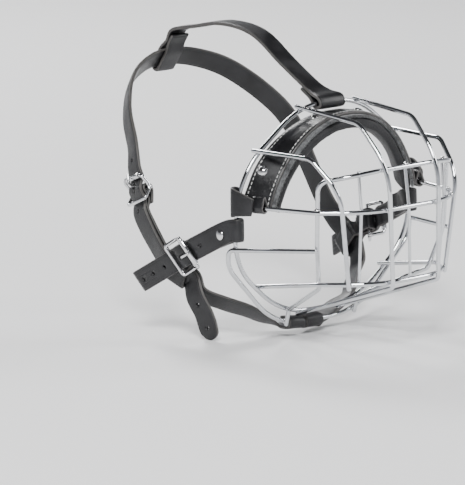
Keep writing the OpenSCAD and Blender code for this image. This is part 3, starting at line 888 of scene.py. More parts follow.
class Kit:
    """The finishes, the scatter tree and the small repeated pieces that every class below uses."""

    def __init__(self) -> None:
        """Builds everything once."""
        self.wire = ChromeFinish("wire_chrome").build()
        self.weld = ChromeFinish("weld_chrome", colour=(0.66, 0.66, 0.67), rough=(0.16, 0.34),
                                 wear=0.00012).build()
        self.buckle = ChromeFinish("buckle_chrome", colour=(0.74, 0.74, 0.75), rough=(0.08, 0.22)).build()
        self.rivet = ChromeFinish("rivet_chrome", colour=(0.8, 0.79, 0.78), rough=(0.07, 0.2)).build()
        self.leather = LeatherFinish("strap_leather", creased=True).build()
        self.ribbed = LeatherFinish("cheek_leather", creased=True, ribs_from=0.108).build()
        self.cover = LeatherFinish("cover_leather", rough=(0.2, 0.34), coat=0.35, depth=0.00008,
                                   creased=True).build()
        self.liner = LeatherFinish("liner_leather", rough=(0.45, 0.62), coat=0.0, depth=0.0002,
                                   grain=600.0).build()
        self.felt = FeltFinish("pad_felt_wool").build()
        self.thread = ThreadFinish("stitch_thread").build()
        self.tree = ScatterTree()
        self.nugget = lathe("weld_bead", [(0.05, -0.95), (0.6, -0.72), (0.98, -0.1), (1.0, 0.2),
                                          (0.6, 0.72), (0.05, 0.95)], 10)
        self.stitch = lathe("stitch_bead", [(0.04, -0.95), (0.2, -0.8), (0.3, -0.35), (0.3, 0.35),
                                            (0.2, 0.8), (0.04, 0.95)], 7)
        self.head = lathe("rivet_head", [(0.05, -0.3), (3.2, -0.25), (3.5, 0.0), (3.45, 0.22), (3.1, 0.55),
                                         (2.5, 0.95), (1.7, 1.32), (0.85, 1.54), (0.05, 1.6)], 32)
        self.fibre = lathe("felt_fibre", [(0.09, 0.0), (0.07, 0.5), (0.03, 1.0), (0.01, 1.25)], 3)

    def clear(self) -> None:
        """Removes the repeated pieces' originals."""
        for obj in (self.nugget, self.stitch, self.head, self.fibre):
            bpy.data.objects.remove(obj)

    def dress(self, obj: bpy.types.Object, finish: bpy.types.Material, slot: str, body: str,
              *nodes: str) -> bpy.types.Object:
        """Gives a piece its finish, sets it under its body's empty and hides the solid nodes that it stands
        for.

        Args:
            obj: The piece.
            finish: Its material.
            slot: Not used.
            body: Body that it moves with.
            nodes: Solid nodes that it stands for.

        Returns:
            The piece.
        """
        obj.data.materials.clear()
        obj.data.materials.append(finish)
        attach(obj, body)
        if nodes:
            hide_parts(*nodes)
        log.info("%s: %d faces", obj.name, len(obj.data.polygons))
        return obj


# ---------------------------------------------------------------- wire cage

@dataclass
class Cage:
    """The welded basket: two hoops, a grille, rails, wires and bars, with a bead at every weld."""

    kit: Kit
    lap: float = LAP
    lap_bar: float = LAP_BAR

    def hoop_corner(self, x: float, z: float, r: float) -> Corner:
        """A corner of the rear hoop, in its leaning plane."""
        return corner(x, -z * LEAN, z, r)

    def routes(self) -> None:
        """Works out the centre line of every wire."""
        lap = self.lap
        self.hoop = centre_line(both_sides([
            self.hoop_corner(-34, -69.5, 70), self.hoop_corner(-78.5, -31, 45),
            self.hoop_corner(-78.5, 29, 55), self.hoop_corner(-26, 69.5, 60)]), True)
        self.rail_end = crossing(self.hoop, 2, RAIL_Z) + Vector((0.91 * lap, 2, 0))
        self.rail = centre_line(both_sides([
            Corner(self.rail_end), Corner(RAIL_BEND, 16), corner(-36, -81.7, RAIL_Z, 45)]))
        chin_end = crossing(self.hoop, 0, -57) + Vector((0.6 * lap, 2, 0.7 * lap))
        self.chin = centre_line(both_sides([
            Corner(chin_end), corner(-53, -50, -39.5, 14), corner(-31, -82.2, -38.5, 40)]))
        self.lower = centre_line(both_sides([
            corner(-57.3 - 0.93 * lap, -54.5 - 0.3 * lap, -16), corner(-82.3, 3.5, -19.5, 4),
            corner(-82.3, 4.4, -31.5, 18), corner(-37.7, 8, -77.5, 60)]))
        low, high = crossing(self.lower, 0, -31), crossing(self.hoop, 0, -31)
        self.grille = centre_line(both_sides([
            Corner(low + Vector((0, -0.9 * lap, -2))), Corner(high + Vector((0, -0.93 * lap, -0.5)), 3),
            corner(-49.4, -46.5, -43, 4), corner(-57.3, -53.5, -16, 40), corner(-58.2, -56, 28.5, 8),
            corner(-44, -72.5, 32.5, 20), corner(-24, -78.3, 34.6, 40)]))
        seat, under = crossing(self.hoop, 0, -26, 0), crossing(self.hoop, 0, -18)
        self.upper = centre_line([
            Corner(seat + Vector((0, WIRE_TAIL, lap))), corner(-24, -59, 62.8, 12),
            corner(-22.3, -81.7 - lap, 35, 45), corner(-20.5, -82.2 - lap, -38.5 - lap, 3),
            Corner(under + Vector((0, 3, -lap)))])
        shoulder = crossing(self.hoop, 0, -61.5, 0)
        self.side = centre_line([
            Corner(shoulder + Vector((-0.62 * lap, WIRE_TAIL, 0.78 * lap))), corner(-58.5, -50, 43, 10),
            corner(-50.5 - 0.72 * lap, -69.1 - 0.69 * lap, 22, 30),
            corner(-41.1 - 0.82 * lap, -66.4 - 0.57 * lap, -41.5)])

    def bar(self, x: float, foot: float, inward: Vector) -> list[Vector]:
        """Centre line of a thin front bar at one side of the nose.

        Args:
            x: Where it meets the grille and the middle rail.
            foot: Where it meets the bottom rail.
            inward: Direction from the rails to the bar.

        Returns:
            Points along the bar.
        """
        top = crossing(self.grille, 0, x, 0) + inward * self.lap_bar + Vector((0, 0, WIRE_D / 2))
        middle = crossing(self.rail, 0, x) + inward * self.lap_bar
        low = crossing(self.chin, 0, foot) + inward * self.lap_bar - Vector((0, 0, WIRE_D / 2))
        return centre_line([Corner(top), Corner(middle, 20), Corner(low)])

    def welds(self, lines: Sequence[tuple[list[Vector], float]]) -> list[tuple[Vector, Vector]]:
        """Finds where two wires touch.

        Args:
            lines: Pairs of a wire's centre line and its radius.

        Returns:
            Pairs of a weld's middle and the direction from one wire to the other.
        """
        found: list[tuple[Vector, Vector]] = []
        dense = [([a.lerp(b, k / WELD_STEPS) for a, b in zip(line, line[1:]) for k in range(WELD_STEPS)], r)
                 for line, r in lines]
        for i, (one, r_one) in enumerate(dense):
            for two, r_two in dense[i + 1:]:
                near = sorted(((p - q).length_squared, a, b)
                              for a, p in enumerate(one) for b, q in enumerate(two)
                              if abs(p.x - q.x) < WELD_REACH and abs(p.y - q.y) < WELD_REACH
                              and abs(p.z - q.z) < WELD_REACH)
                taken: list[Vector] = []
                for d, a, b in near:
                    p, q = one[a], two[b]
                    spot = p.lerp(q, r_one / (r_one + r_two))
                    touching = math.sqrt(d) < r_one + r_two + WELD_SLACK
                    if touching and all((spot - t).length > WELD_APART for t in taken):
                        taken.append(spot)
                        found.append((spot, tangent(one, a)))
        return found

    def build(self) -> None:
        """Makes the wires and their welds."""
        self.routes()
        kit, cage, thick, thin = self.kit, Body.CAGE.value, WIRE_D / 2, BAR_D / 2
        single = (("rear_hoop", self.hoop, thick), ("lower_hoop", self.lower, thick),
                  ("grille_loop", self.grille, thick), ("middle_rail", self.rail, thick),
                  ("bottom_rail", self.chin, thick),
                  ("front_bar_centre", self.bar(0.0, 0.0, Vector((0, 1, 0))), thin))
        slant = Vector((0.5, 0.87, 0)).normalized()
        paired = (("upper_wire", self.upper, thick), ("side_wire", self.side, thick),
                  ("front_bar", self.bar(-38.5, -37.0, slant), thin))
        lines = [(line, r) for _, line, r in single]
        for name, line, r in single:
            piece = tube(f"{name}_wire", line, r, 16, closed=name == "rear_hoop")
            kit.dress(piece, kit.wire, "wire", cage, name)
        for name, line, r in paired:
            for side in Side:
                own = line if side is Side.RIGHT else [flip(p) for p in line]
                node = f"{name}_{side.name.lower()}"
                kit.dress(tube(f"{node}_wire", own, r, 16), kit.wire, "wire", cage, node)
                lines.append((own, r))
        spots = self.welds(lines)
        beads = kit.tree.scatter("weld_beads", spots, kit.nugget, kit.weld, size=1.75, spread=0.16)
        kit.dress(beads, kit.weld, "wire", cage)
        log.info("weld_beads: %d welds", len(spots))


# ---------------------------------------------------------------- nose pad

@dataclass
class NosePad:
    """The band over the snout: glossy cover, grey felt, padded liner, folds, tabs, rivets and stitching."""

    kit: Kit
    cage: Cage
    rear: tuple[tuple[float, float], ...] = (
        (-75, 13), (-72, 20), (-65.8, 32.5), (-57.5, 42.5), (-47.5, 50.3), (-36, 56.6), (-22, 61.6),
        (-8, 64), (0, 64.2))
    front: tuple[tuple[float, float], ...] = (
        (-66, 8), (-63.2, 18), (-57, 30), (-49.5, 41), (-41, 49.8), (-30, 57.5), (-17, 62.6),
        (-6, 64.3), (0, 64.4))
    rivet_stations: tuple[int, ...] = (2, 6, 10, 14)

    def edge(self, arch: Sequence[tuple[float, float]], y: float) -> list[Vector]:
        """One edge of the pad, over the snout from right to left."""
        whole = list(arch) + [(-x, z) for x, z in reversed(arch[:-1])]
        return [Vector((x, y - z * LEAN, z)) for x, z in whole]

    def stations(self, fine: int) -> list[tuple[Vector, Vector, Vector, float]]:
        """Stations along the pad.

        Args:
            fine: Steps between neighbouring stations.

        Returns:
            For each: a point of the rear edge, the way across, the way outwards and the width there.
        """
        a = smooth_points(self.edge(self.rear, PAD_BACK), fine)
        b = smooth_points(self.edge(self.front, PAD_BACK - PAD_RUN), fine)
        out = []
        for i, (p, q) in enumerate(zip(a, b)):
            d = (q - p).normalized()
            out.append((p, d, d.cross(tangent(a, i)).normalized(), (q - p).length))
        return out

    def layer(self, name: str, depth: float, thick: float, back: float, forward: float, crown: float,
              corner_r: float, wave: Callable[[int, float], float] = lambda i, s: 0.0) -> bpy.types.Object:
        """One layer of the pad.

        Args:
            name: Name of the piece.
            depth: Depth of its outer face under the cover's.
            thick: Thickness.
            back: How far it reaches behind the rear edge.
            forward: How far it reaches past the front edge.
            crown: Swell of its faces at the middle.
            corner_r: Radius of its edges.
            wave: Extra height at a station and a share of the width.

        Returns:
            The layer.
        """
        verts: list[Vector] = []
        uv: list[tuple[float, float]] = []
        rows = self.stations(7)
        travelled = 0.0
        sides = 0
        for i, (p, d, n, wide) in enumerate(rows):
            travelled += (p - rows[i - 1][0]).length if i else 0.0
            full = wide + back + forward
            taper = 1.0 - 0.35 * max(0.0, 1 - min(i, len(rows) - 1 - i) / 2.0)
            outline = rounded_outline(full, thick * taper, corner_r * taper, 4, crown, 14)
            sides = len(outline)
            middle = p + d * (full / 2 - back) - n * (depth + thick / 2)
            for a, b in outline:
                lift = wave(i, a / full) * (1 if b > 0 else -0.4)
                verts.append(middle - d * a + n * (b + lift))
                uv.append((travelled * MM, -a / full))
        return make_object(name, verts, skin_faces(len(rows), sides, False), uv)

    def stitch_line(self, from_front: bool) -> list[tuple[Vector, Vector]]:
        """Places of the stitches beside an edge of the cover.

        Args:
            from_front: Whether it is the front edge.

        Returns:
            Pairs of a stitch's middle and its direction.
        """
        line = [p + d * ((wide - STITCH_INSET) if from_front else STITCH_INSET) + n * 0.02
                for p, d, n, wide in self.stations(12)]
        places: list[tuple[Vector, Vector]] = []
        at = STITCH_PITCH
        for a, b in zip(line, line[1:]):
            span = (b - a).length
            while at < span:
                places.append((a.lerp(b, at / span), b - a))
                at += STITCH_PITCH
            at -= span
        return places

    def rail_axes(self) -> tuple[Vector, Vector, Vector, Vector]:
        """The middle rail's right end, its direction there, the way up and the way outwards."""
        end = self.cage.rail_end
        way = (RAIL_BEND - end).normalized()
        up = (Vector((0, 0, 1)) - way * way.z).normalized()
        return end, way, up, way.cross(up)

    def fold(self) -> bpy.types.Object:
        """The teardrop of leather that holds the pad's lower right end to the middle rail."""
        end, way, up, side = self.rail_axes()
        middle = end + way * 16.5
        ring, neck = 3.0, up * 7.2
        rows = [row(middle + side * 0.5 + neck, side)]
        for k in range(-30, 211, 20):
            a = math.radians(-k)
            out = side * math.cos(a) + up * math.sin(a)
            rows.append(row(middle + out * ring, out))
        rows.append(row(middle - side * 0.5 + neck, -side))
        return strap("pad_fold_right_leather", rows, 1.5, 4, 9.0, 0.0)

    def cross_stitches(self) -> list[tuple[Vector, Vector]]:
        """Short stitches that close the teardrop under the pad."""
        end, way, up, side = self.rail_axes()
        return [(end + way * (13.2 + 1.6 * k) + up * 4.6 - side * 1.7, up + way * 0.45) for k in range(5)]

    def tab(self) -> bpy.types.Object:
        """The leather tab from the pad's lower right end round the hoop."""
        hoop, r = crossing(self.cage.hoop, 2, 12), WIRE_D / 2 + SLACK + STRAP_T / 2
        rows = [row(hoop + Vector(p), face, w) for p, face, w in (
            ((4.5, r + 0.9, 0), (0.1, 1, 0), 1.2), ((1, r + 0.7, 0), (0, 1, 0), 1.3),
            ((-r, 1.5, 0), (-1, 0.3, 0), 1.3), ((-r + 0.4, -3.5, -0.5), (-0.95, -0.3, 0), 1.1),
            ((1, -13, -2.4), (-0.95, -0.3, 0), 0.75))]
        return strap("pad_tab_right_leather", rows, COVER_T, 6)

    def fuzz(self) -> list[tuple[Vector, Vector]]:
        """Places and directions of the loose fibres on the felt's front edge."""
        places = []
        for i, (p, d, n, wide) in enumerate(self.stations(40)):
            for k in range(3):
                s = noise.cell_vector(Vector((i * 1.37, k * 7.1, SEED)))
                edge = p + d * (wide + 2.2) - n * (COVER_T + 0.2 + FELT_T * s.x)
                places.append((edge, d * 0.9 + n * (s.y - 0.4) + n.cross(d).normalized() * (s.z - 0.5)))
        return places

    def build(self) -> None:
        """Makes and dresses every piece of the pad."""
        kit, cage = self.kit, Body.CAGE.value
        cover = self.layer("pad_cover_leather", 0.0, COVER_T, 0.0, 0.0, 0.25, 0.7)
        kit.dress(cover, kit.cover, "leather", cage, "pad_cover")
        felt = self.layer("pad_felt_band", COVER_T + 0.1, FELT_T, -0.5, 2.4, 0.0, 0.6,
                          lambda i, s: 0.16 * noise.noise(Vector((i * 0.5, s * 14, 1.0))))
        kit.dress(felt, kit.felt, "felt", cage, "pad_felt")
        liner = self.layer("pad_liner_cushion", COVER_T + FELT_T + 2 * GAP, LINER_T, -1.0, 4.0, 0.9, 2.4,
                           lambda i, s: 0.35 * noise.noise(Vector((i * 0.22, s * 5, 4.0))))
        kit.dress(liner, kit.liner, "leather", cage, "pad_liner")
        rows = self.stations(1)
        heads = [(rows[i][0] + rows[i][1] * 6 + rows[i][2] * 0.1, rows[i][2]) for i in self.rivet_stations]
        studs = kit.tree.scatter("pad_rivet_heads", heads, kit.head, kit.rivet)
        kit.dress(studs, kit.rivet, "rivet", cage, "pad_rivets")
        repeated = (("pad_stitches", self.stitch_line(True) + self.stitch_line(False), kit.stitch, kit.thread,
                     1.15, 0.05),
                    ("pad_felt_fibres", self.fuzz(), kit.fibre, kit.felt, 1.0, 0.5))
        for name, places, bit, finish, size, spread in repeated:
            kit.dress(kit.tree.scatter(name, places, bit, finish, size, spread), finish, "felt", cage)
        fold, tab = self.fold(), self.tab()
        ties = kit.tree.scatter("fold_stitches_right", self.cross_stitches(), kit.stitch, kit.thread,
                                1.1, 0.05)
        for piece, twin, node, finish in ((fold, "pad_fold_left_leather", "pad_fold", kit.cover),
                                          (tab, "pad_tab_left_leather", "pad_tab", kit.leather)):
            kit.dress(mirrored(piece, twin), finish, "leather", cage, f"{node}_left")
            kit.dress(piece, finish, "leather", cage, f"{node}_right")
        kit.dress(mirrored(ties, "fold_stitches_left"), kit.thread, "felt", cage)
        kit.dress(ties, kit.thread, "felt", cage)


# ---------------------------------------------------------------- buckles

@dataclass(frozen=True)
class Seat:
    """Where a buckle lies: X runs to the strap's tip, Y across it and Z outwards.

    Args:
        name: The buckle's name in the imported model.
        origin: Place of the strap's middle over the centre bar.
        x: Direction towards the tip.
        z: Direction outwards.
    """

    name: str
    origin: Vector
    x: Vector
    z: Vector

    @staticmethod
    def of(name: str, origin: Sequence[float], x: Sequence[float], z: Sequence[float]) -> "Seat":
        """A seat whose outward direction is made square to its X."""
        along = Vector(x).normalized()
        out = Vector(z)
        return Seat(name, Vector(origin), along, (out - along * out.dot(along)).normalized())

    @property
    def y(self) -> Vector:
        """Direction across the strap."""
        return self.z.cross(self.x)

    def at(self, x: float, y: float, z: float) -> Vector:
        """A place given in the seat's own axes."""
        return self.origin + self.x * x + self.y * y + self.z * z

    def turned(self, v: Sequence[float]) -> Vector:
        """A direction given in the seat's own axes."""
        return self.x * v[0] + self.y * v[1] + self.z * v[2]

    def rows(self, stations: Sequence[tuple[Sequence[float], Sequence[float]]]) -> list[Row]:
        """Strap stations given in the seat's own axes."""
        return [Row(self.at(*p), self.turned(f)) for p, f in stations]


CHEEK = Seat.of("cheek", (-86.6, 43, -27.3), (-0.03, 0.88, -0.47), (-0.94, -0.15, -0.3))
NECK = Seat.of("neck", (-77.8, 98, 8.5), (-0.15, -0.33, -0.93), (-0.96, 0.2, 0.1))
WEAVE = [((-15, 0, 0), (0, 0, 1)), ((-BUCKLE_L, 0, WEAVE_LOW), (0, 0, 1)), ((0, 0, WEAVE_HIGH), (0, 0, 1)),
         ((BUCKLE_L, 0, WEAVE_LOW), (0, 0, 1)), ((15, 0, 0), (0, 0, 1))]
BASE_LOW = WEAVE_LOW - LAYER
BASE_FOLD = [((10, 0, BASE_LOW - BASE_T - GAP), (0, 0, -1)), ((4, 0, CENTRE_Z - FOLD_R), (0, 0, -1)),
             ((0, 0, CENTRE_Z - FOLD_R), (0, 0, -1)),
             ((-0.8 * FOLD_R, 0, CENTRE_Z - 0.6 * FOLD_R), (-0.8, 0, -0.6)),
             ((-0.8 * FOLD_R, 0, CENTRE_Z + 0.6 * FOLD_R), (-0.8, 0, 0.6)),
             ((0, 0, CENTRE_Z + FOLD_R), (0, 0, 1)),
             ((4, 0, (CENTRE_Z + FOLD_R + BASE_LOW) / 2 - 0.4), (0.3, 0, 1)),
             ((BUCKLE_L, 0, BASE_LOW - 0.2), (0, 0, 1)), ((15, 0, -LAYER), (0, 0, 1))]


@dataclass
class Buckle:
    """A roller buckle: a round-wire frame with two windows, a roller and a prong."""

    kit: Kit
    seat: Seat
    side: Side
    named: str

    def frame_parts(self) -> bpy.types.Object:
        """The frame's wire loop and its centre bar."""
        s, w = self.seat, BUCKLE_W
        loop = [Corner(s.at(-BUCKLE_L, -w, FRONT_Z), 2.1), Corner(s.at(-BUCKLE_L, w, FRONT_Z), 2.1),
                Corner(s.at(0, w, CENTRE_Z + 0.5), 4.5), Corner(s.at(BUCKLE_L, w, REAR_Z), 2.1),
                Corner(s.at(BUCKLE_L, -w, REAR_Z), 2.1), Corner(s.at(0, -w, CENTRE_Z + 0.5), 4.5)]
        ring = tube("frame_loop", centre_line(loop, True), BUCKLE_D / 2, 16, closed=True)
        line = [s.at(0, w * k / 6, CENTRE_Z) for k in range(-6, 7)]
        bar = tube("frame_bar", line, [BUCKLE_D / 2 + 0.12 * (abs(k) == 6) for k in range(-6, 7)], 16)
        return joined(f"{self.named.format('frame')}_metal", [ring, bar])

    def roller(self) -> bpy.types.Object:
        """The tube that turns on the front bar, with rolled ends and a seam."""
        s, half, outer, inner = self.seat, BUCKLE_W - 2.6, ROLLER_D / 2, BUCKLE_D / 2 + 0.08
        profile = [(inner, -half + 0.1), (inner + 0.2, -half), (outer - 0.25, -half), (outer, -half + 0.3),
                   (outer, half - 0.3), (outer - 0.25, half), (inner + 0.2, half), (inner, half - 0.1)]
        sides, seam, seam_depth = 28, 20, 0.16
        verts = []
        for r, y in profile:
            for k in range(sides):
                a = 2 * math.pi * k / sides
                dip = seam_depth if k == seam and r > inner + 0.3 else 0.0
                verts.append(s.at(-BUCKLE_L + (r - dip) * math.sin(a), y, FRONT_Z + (r - dip) * math.cos(a)))
        faces = skin_faces(len(profile), sides, True)
        return make_object(f"{self.named.format('roller')}_metal", verts, faces)

    def prong(self) -> bpy.types.Object:
        """The prong, bent round the centre bar and resting over the roller."""
        s, root, turn = self.seat, PRONG_ROOT_R, 280
        coil_r = BUCKLE_D / 2 + 0.1 + root
        coil = []
        for k in range(0, turn, 16):
            a = math.radians(60 - k)
            coil.append(s.at(coil_r * math.cos(a), -0.25 + 0.5 * k / turn, CENTRE_Z + coil_r * math.sin(a)))
        reach = [(-2.3, CENTRE_Z + 2.6), (-2.45, 0.0), (-2.6, 3.6), (-3.6, PRONG_Z - 0.25),
                 (-6.0, PRONG_Z + 0.05), (-8.6, PRONG_Z), (-10.6, PRONG_Z - 0.15)]
        path = smooth_points([coil[-1]] + [s.at(x, 0.2 * (i < 2), z) for i, (x, z) in enumerate(reach)], 5)
        swell, taper, last = 9, 8, len(path)
        grown = [(root + (PRONG_D / 2 - root) * min(1.0, i / swell))
                 * (1 - 0.22 * max(0.0, (i - last + taper) / taper)) for i in range(last)]
        rad = [root] * (len(coil) - 1) + grown
        return tube(f"{self.named.format('prong')}_metal", coil[:-1] + path, rad, 12)

    def build(self) -> None:
        """Makes the three pieces and gives each to its own body."""
        pieces = {"frame": self.frame_parts(), "roller": self.roller(), "prong": self.prong()}
        for kind, piece in pieces.items():
            if self.side is Side.LEFT:
                reflect(piece.data)
            node = self.named.format(kind)
            self.kit.dress(piece, self.kit.buckle, "buckle", f"{node}_body", node)


# ---------------------------------------------------------------- harness

@dataclass
class Harness:
    """Cheek, neck, throat and top straps, the two sliders, and the rivets that hold them."""

    kit: Kit
    cage: Cage
    fold_r: float = WIRE_D / 2 + SLACK + STRAP_T / 2
    two_layers: float = STRAP_T + GAP
    tip: float = 48.0
    hole_r: float = 1.35

    def __post_init__(self) -> None:
        """Works out the sleeve beside the cheek buckle."""
        self.sleeve_x = Vector((-0.51, 0.86, 0)).normalized()
        self.sleeve_top = WEAVE_LOW - STRAP_T / 2 - GAP
        self.sleeve_h = STRAP_T + BASE_T + 4 * GAP
        self.sleeve_at = Vector((18.6, 7.7, self.sleeve_top - BASE_T - GAP - STRAP_T / 2))
        self.rivet_at = Vector((-82.8, 10, -10))

    def in_sleeve(self, s: float, depth: float) -> Vector:
        """A place in the right sleeve, s along the neck strap and depth below its middle."""
        p = self.sleeve_at + self.sleeve_x * s
        return CHEEK.at(p.x, p.y, p.z - depth)

    def cheek(self) -> bpy.types.Object:
        """The right cheek strap: round the hoop, riveted, woven through the buckle."""
        hoop, r, k = crossing(self.cage.hoop, 2, -6.5), self.fold_r, self.rivet_at
        rows = [row(k + Vector((self.two_layers, 7, -2.8)), (1, 0, 0.1)),
                row(k + Vector((self.two_layers, 0, 0)), (1, 0, 0.1))]
        rows += [row(hoop + Vector(p), face) for p, face in (
            ((r, 1, 0), (1, 0, 0)), ((0.7 * r, -r, 0.2), (0.7, -0.7, 0)), ((0, -r - 1.2, 0.3), (0, -1, 0)),
            ((-0.7 * r, -r, 0.2), (-0.7, -0.7, 0)), ((-r, 1, 0), (-1, 0, 0)))]
        rows += [row(k, (-1, 0, -0.1))] + CHEEK.rows(WEAVE)
        rows += [Row(CHEEK.at(self.tip / 2 + 8, 0, 0.3), CHEEK.z), Row(CHEEK.at(self.tip, 0, 0.5), CHEEK.z)]
        piece = strap("cheek_strap_right_leather", rows, STRAP_T)
        holes = [(CHEEK.at(x, 0, 0), CHEEK.z) for x in (-18.5, 19.5, 31.5, 42.0)]
        return punched(piece, holes + self.prong_slot(CHEEK), self.hole_r)

    def prong_slot(self, seat: Seat) -> list[tuple[Vector, Vector]]:
        """Overlapping punches that open the slot a prong comes up through."""
        return [(seat.at(x, 0, WEAVE_HIGH), seat.z) for x in SLOT_PUNCHES]

    def slider(self) -> bpy.types.Object:
        """The right slider: a tab folded round the buckle's centre bar, with its sleeve."""
        stations = BASE_FOLD[:-1] + [((15, 0, -LAYER - 0.4), (0, 0, 1))]
        tab = strap("slider_tab", CHEEK.rows(stations), BASE_T)
        across = Vector((0, 0, 1)).cross(self.sleeve_x)
        half_w, half_h = (STRAP_W + 3 * GAP + BASE_T) / 2, (self.sleeve_h + BASE_T) / 2
        mid = Vector((self.sleeve_at.x, self.sleeve_at.y, self.sleeve_top - BASE_T - self.sleeve_h / 2))
        corners = [Corner(mid + across * a * half_w + Vector((0, 0, b * half_h)), 2.0)
                   for a, b in ((0, 1), (-1, 1), (-1, -1), (1, -1), (1, 1))]
        line = [corners[0].p] + [p for i in range(1, 5) for p in bend_points(corners, i, 30)] + [corners[0].p]
        rows = []
        for i, p in enumerate(line):
            d = (line[(i + 1) % (len(line) - 1)] - line[i - 1 if i else len(line) - 2]).normalized()
            rows.append(Row(CHEEK.at(*p), CHEEK.turned(self.sleeve_x.cross(d))))
        sleeve = strap("slider_sleeve", rows, BASE_T, 4, STRAP_W, 0.05, closed=True)
        return joined("slider_right_leather", [tab, sleeve])

    def neck_routes(self) -> tuple[list[Row], list[Row]]:
        """Stations of the neck strap and of the throat strap."""
        tip = [row(p, TIP_FACE, w) for p, w in (
            ((-70.3, 37, -85), 0.3), ((-70.8, 36.6, -81.5), 0.85), ((-72, 36.5, -76), 1.0),
            ((-74.3, 38, -67), 1.0), ((-77.2, 42.5, -56.5), 1.0))]
        sleeve = [Row(self.in_sleeve(s, 0), CHEEK.z) for s in (11, 8, 0, -8, -11)]
        side = [row((-81, 73.5, -29.5), (-0.97, 0.1, -0.2)), row((-80.6, 85.5, -16), (-0.97, 0.15, -0.05))]
        nape = [row((-71.5, 109, 37), (-0.9, 0.4, 0.2)), row((-62, 125, 56), (-0.75, 0.6, 0.35)),
                row((-43, 142, 74), (-0.45, 0.75, 0.5)), row((-20, 151.5, 83), (-0.2, 0.8, 0.6))]
        chin = [row((-71.5, 43.5, -55), (-0.9, -0.15, -0.4)), row((-58, 35.2, -62.5), (-0.75, -0.3, -0.6)),
                row((-46, 26, -68), (-0.6, -0.35, -0.72))]
        right_x = -21.2
        neck = (tip + sleeve + side + NECK.rows(WEAVE[::-1]) + nape + [row(NAPE, NAPE_OUT)]
                + flipped(nape[::-1]) + [row((77.8, 98, 8.5), (0.96, 0.2, 0.1))] + flipped(side[::-1])
                + flipped(sleeve[::-1]) + flipped(chin)
                + [row((30, 22, -74), (0.2, 0, -1)), row((14, 18.5, -78.5), (0.1, 0, -1)),
                   row((2, 14.5, -80), (0, 0, -1))]
                + self.chin_loop(right_x + STRAP_W + GAP, STRAP_T))
        under = LAYER + GAP
        throat = (NECK.rows(BASE_FOLD) + [Row(r.p - r.face.normalized() * under, r.face) for r in side[::-1]]
                  + [Row(self.in_sleeve(s, LAYER), CHEEK.z) for s in (-11, -8, 0, 8, 11)] + chin
                  + [row((-36, 21.5, -74.5), (-0.4, -0.2, -0.9)), row((-27, 17.5, -79), (-0.15, 0, -1))]
                  + self.chin_loop(right_x, BASE_T))
        return neck, throat

    def chin_loop(self, x: float, thick: float) -> list[Row]:
        """Stations of a strap's end, turned round the lower hoop.

        Args:
            x: Where it meets the hoop.
            thick: Thickness of the strap.

        Returns:
            The stations.
        """
        c = crossing(self.cage.lower, 0, x)
        up = (crossing(self.cage.lower, 0, x + 1) - c).cross(Vector((0, 1, 0))).normalized()
        r, front = WIRE_D / 2 + SLACK + thick / 2, Vector((0, -1, 0))
        return [Row(c - up * r - front * 2, -up), Row(c + front * 0.75 * r - up * 0.7 * r, front - up),
                Row(c + front * r, front), Row(c + front * 0.75 * r + up * 0.7 * r, front + up),
                Row(c + up * r - front * 2, up), Row(c + up * (r - 0.4) - front * 6, up)]

    def top(self) -> tuple[bpy.types.Object, Vector]:
        """The top strap, and the place of its rivet near the nape."""
        hoop, way = crossing(self.cage.hoop, 0, 0, 0), Vector((0, 0.9, 0.43)).normalized()
        up = way.cross(Vector((-1, 0, 0)))
        out = NAPE_OUT
        down = out.cross(Vector((1, 0, 0))).normalized()
        r, half, pair = self.fold_r, (STRAP_T + GAP) / 2, STRAP_T + 2 * GAP
        edge, roll = STRAP_W / 2, 1.5

        def fold(a: float, b: float) -> Vector:
            """A place beside the hoop's top."""
            return hoop + way * a + up * b

        def back(a: float, b: float) -> Vector:
            """A place beside the neck strap's middle."""
            return NAPE + down * a + out * b

        rows = [row(fold(20, -half), -up), row(fold(9, -half - 0.2), -up, 1.2), row(fold(1, -r), -up, roll),
                row(fold(-2.4, -2.2), -way - up, roll), row(fold(-r - 0.3, 0), -way, roll),
                row(fold(-2.4, 2.2), up - way, roll), row(fold(1, r), up, roll),
                row(fold(9, half + 0.2), up, 1.2), row(fold(20, half), up)]
        rows += [row((0, y, z), (0, fy, fz)) for y, z, fy, fz in (
            (35.8, 93.5, -0.55, 0.84), (50, 103.2, -0.45, 0.9), (62, 109.2, -0.3, 0.95),
            (77, 112.5, -0.1, 1), (97, 113, 0.1, 1), (120, 109, 0.3, 0.95))]
        rows += [row(back(a, b), face) for a, b, face in (
            (-24, half, out), (-14, half, out), (-7, pair, out), (0, pair, out), (edge, pair, out),
            (edge + 2, 0.7 * pair, out + down), (edge + 2.9, 0, down), (edge + 2, -0.7 * pair, down - out),
            (edge, -pair, -out), (0, -pair, -out), (-7, -pair, -out), (-14, -half, -out),
            (-21, -half, -out))]
        return strap("top_strap_leather", rows, STRAP_T), back(-16, half + STRAP_T / 2)

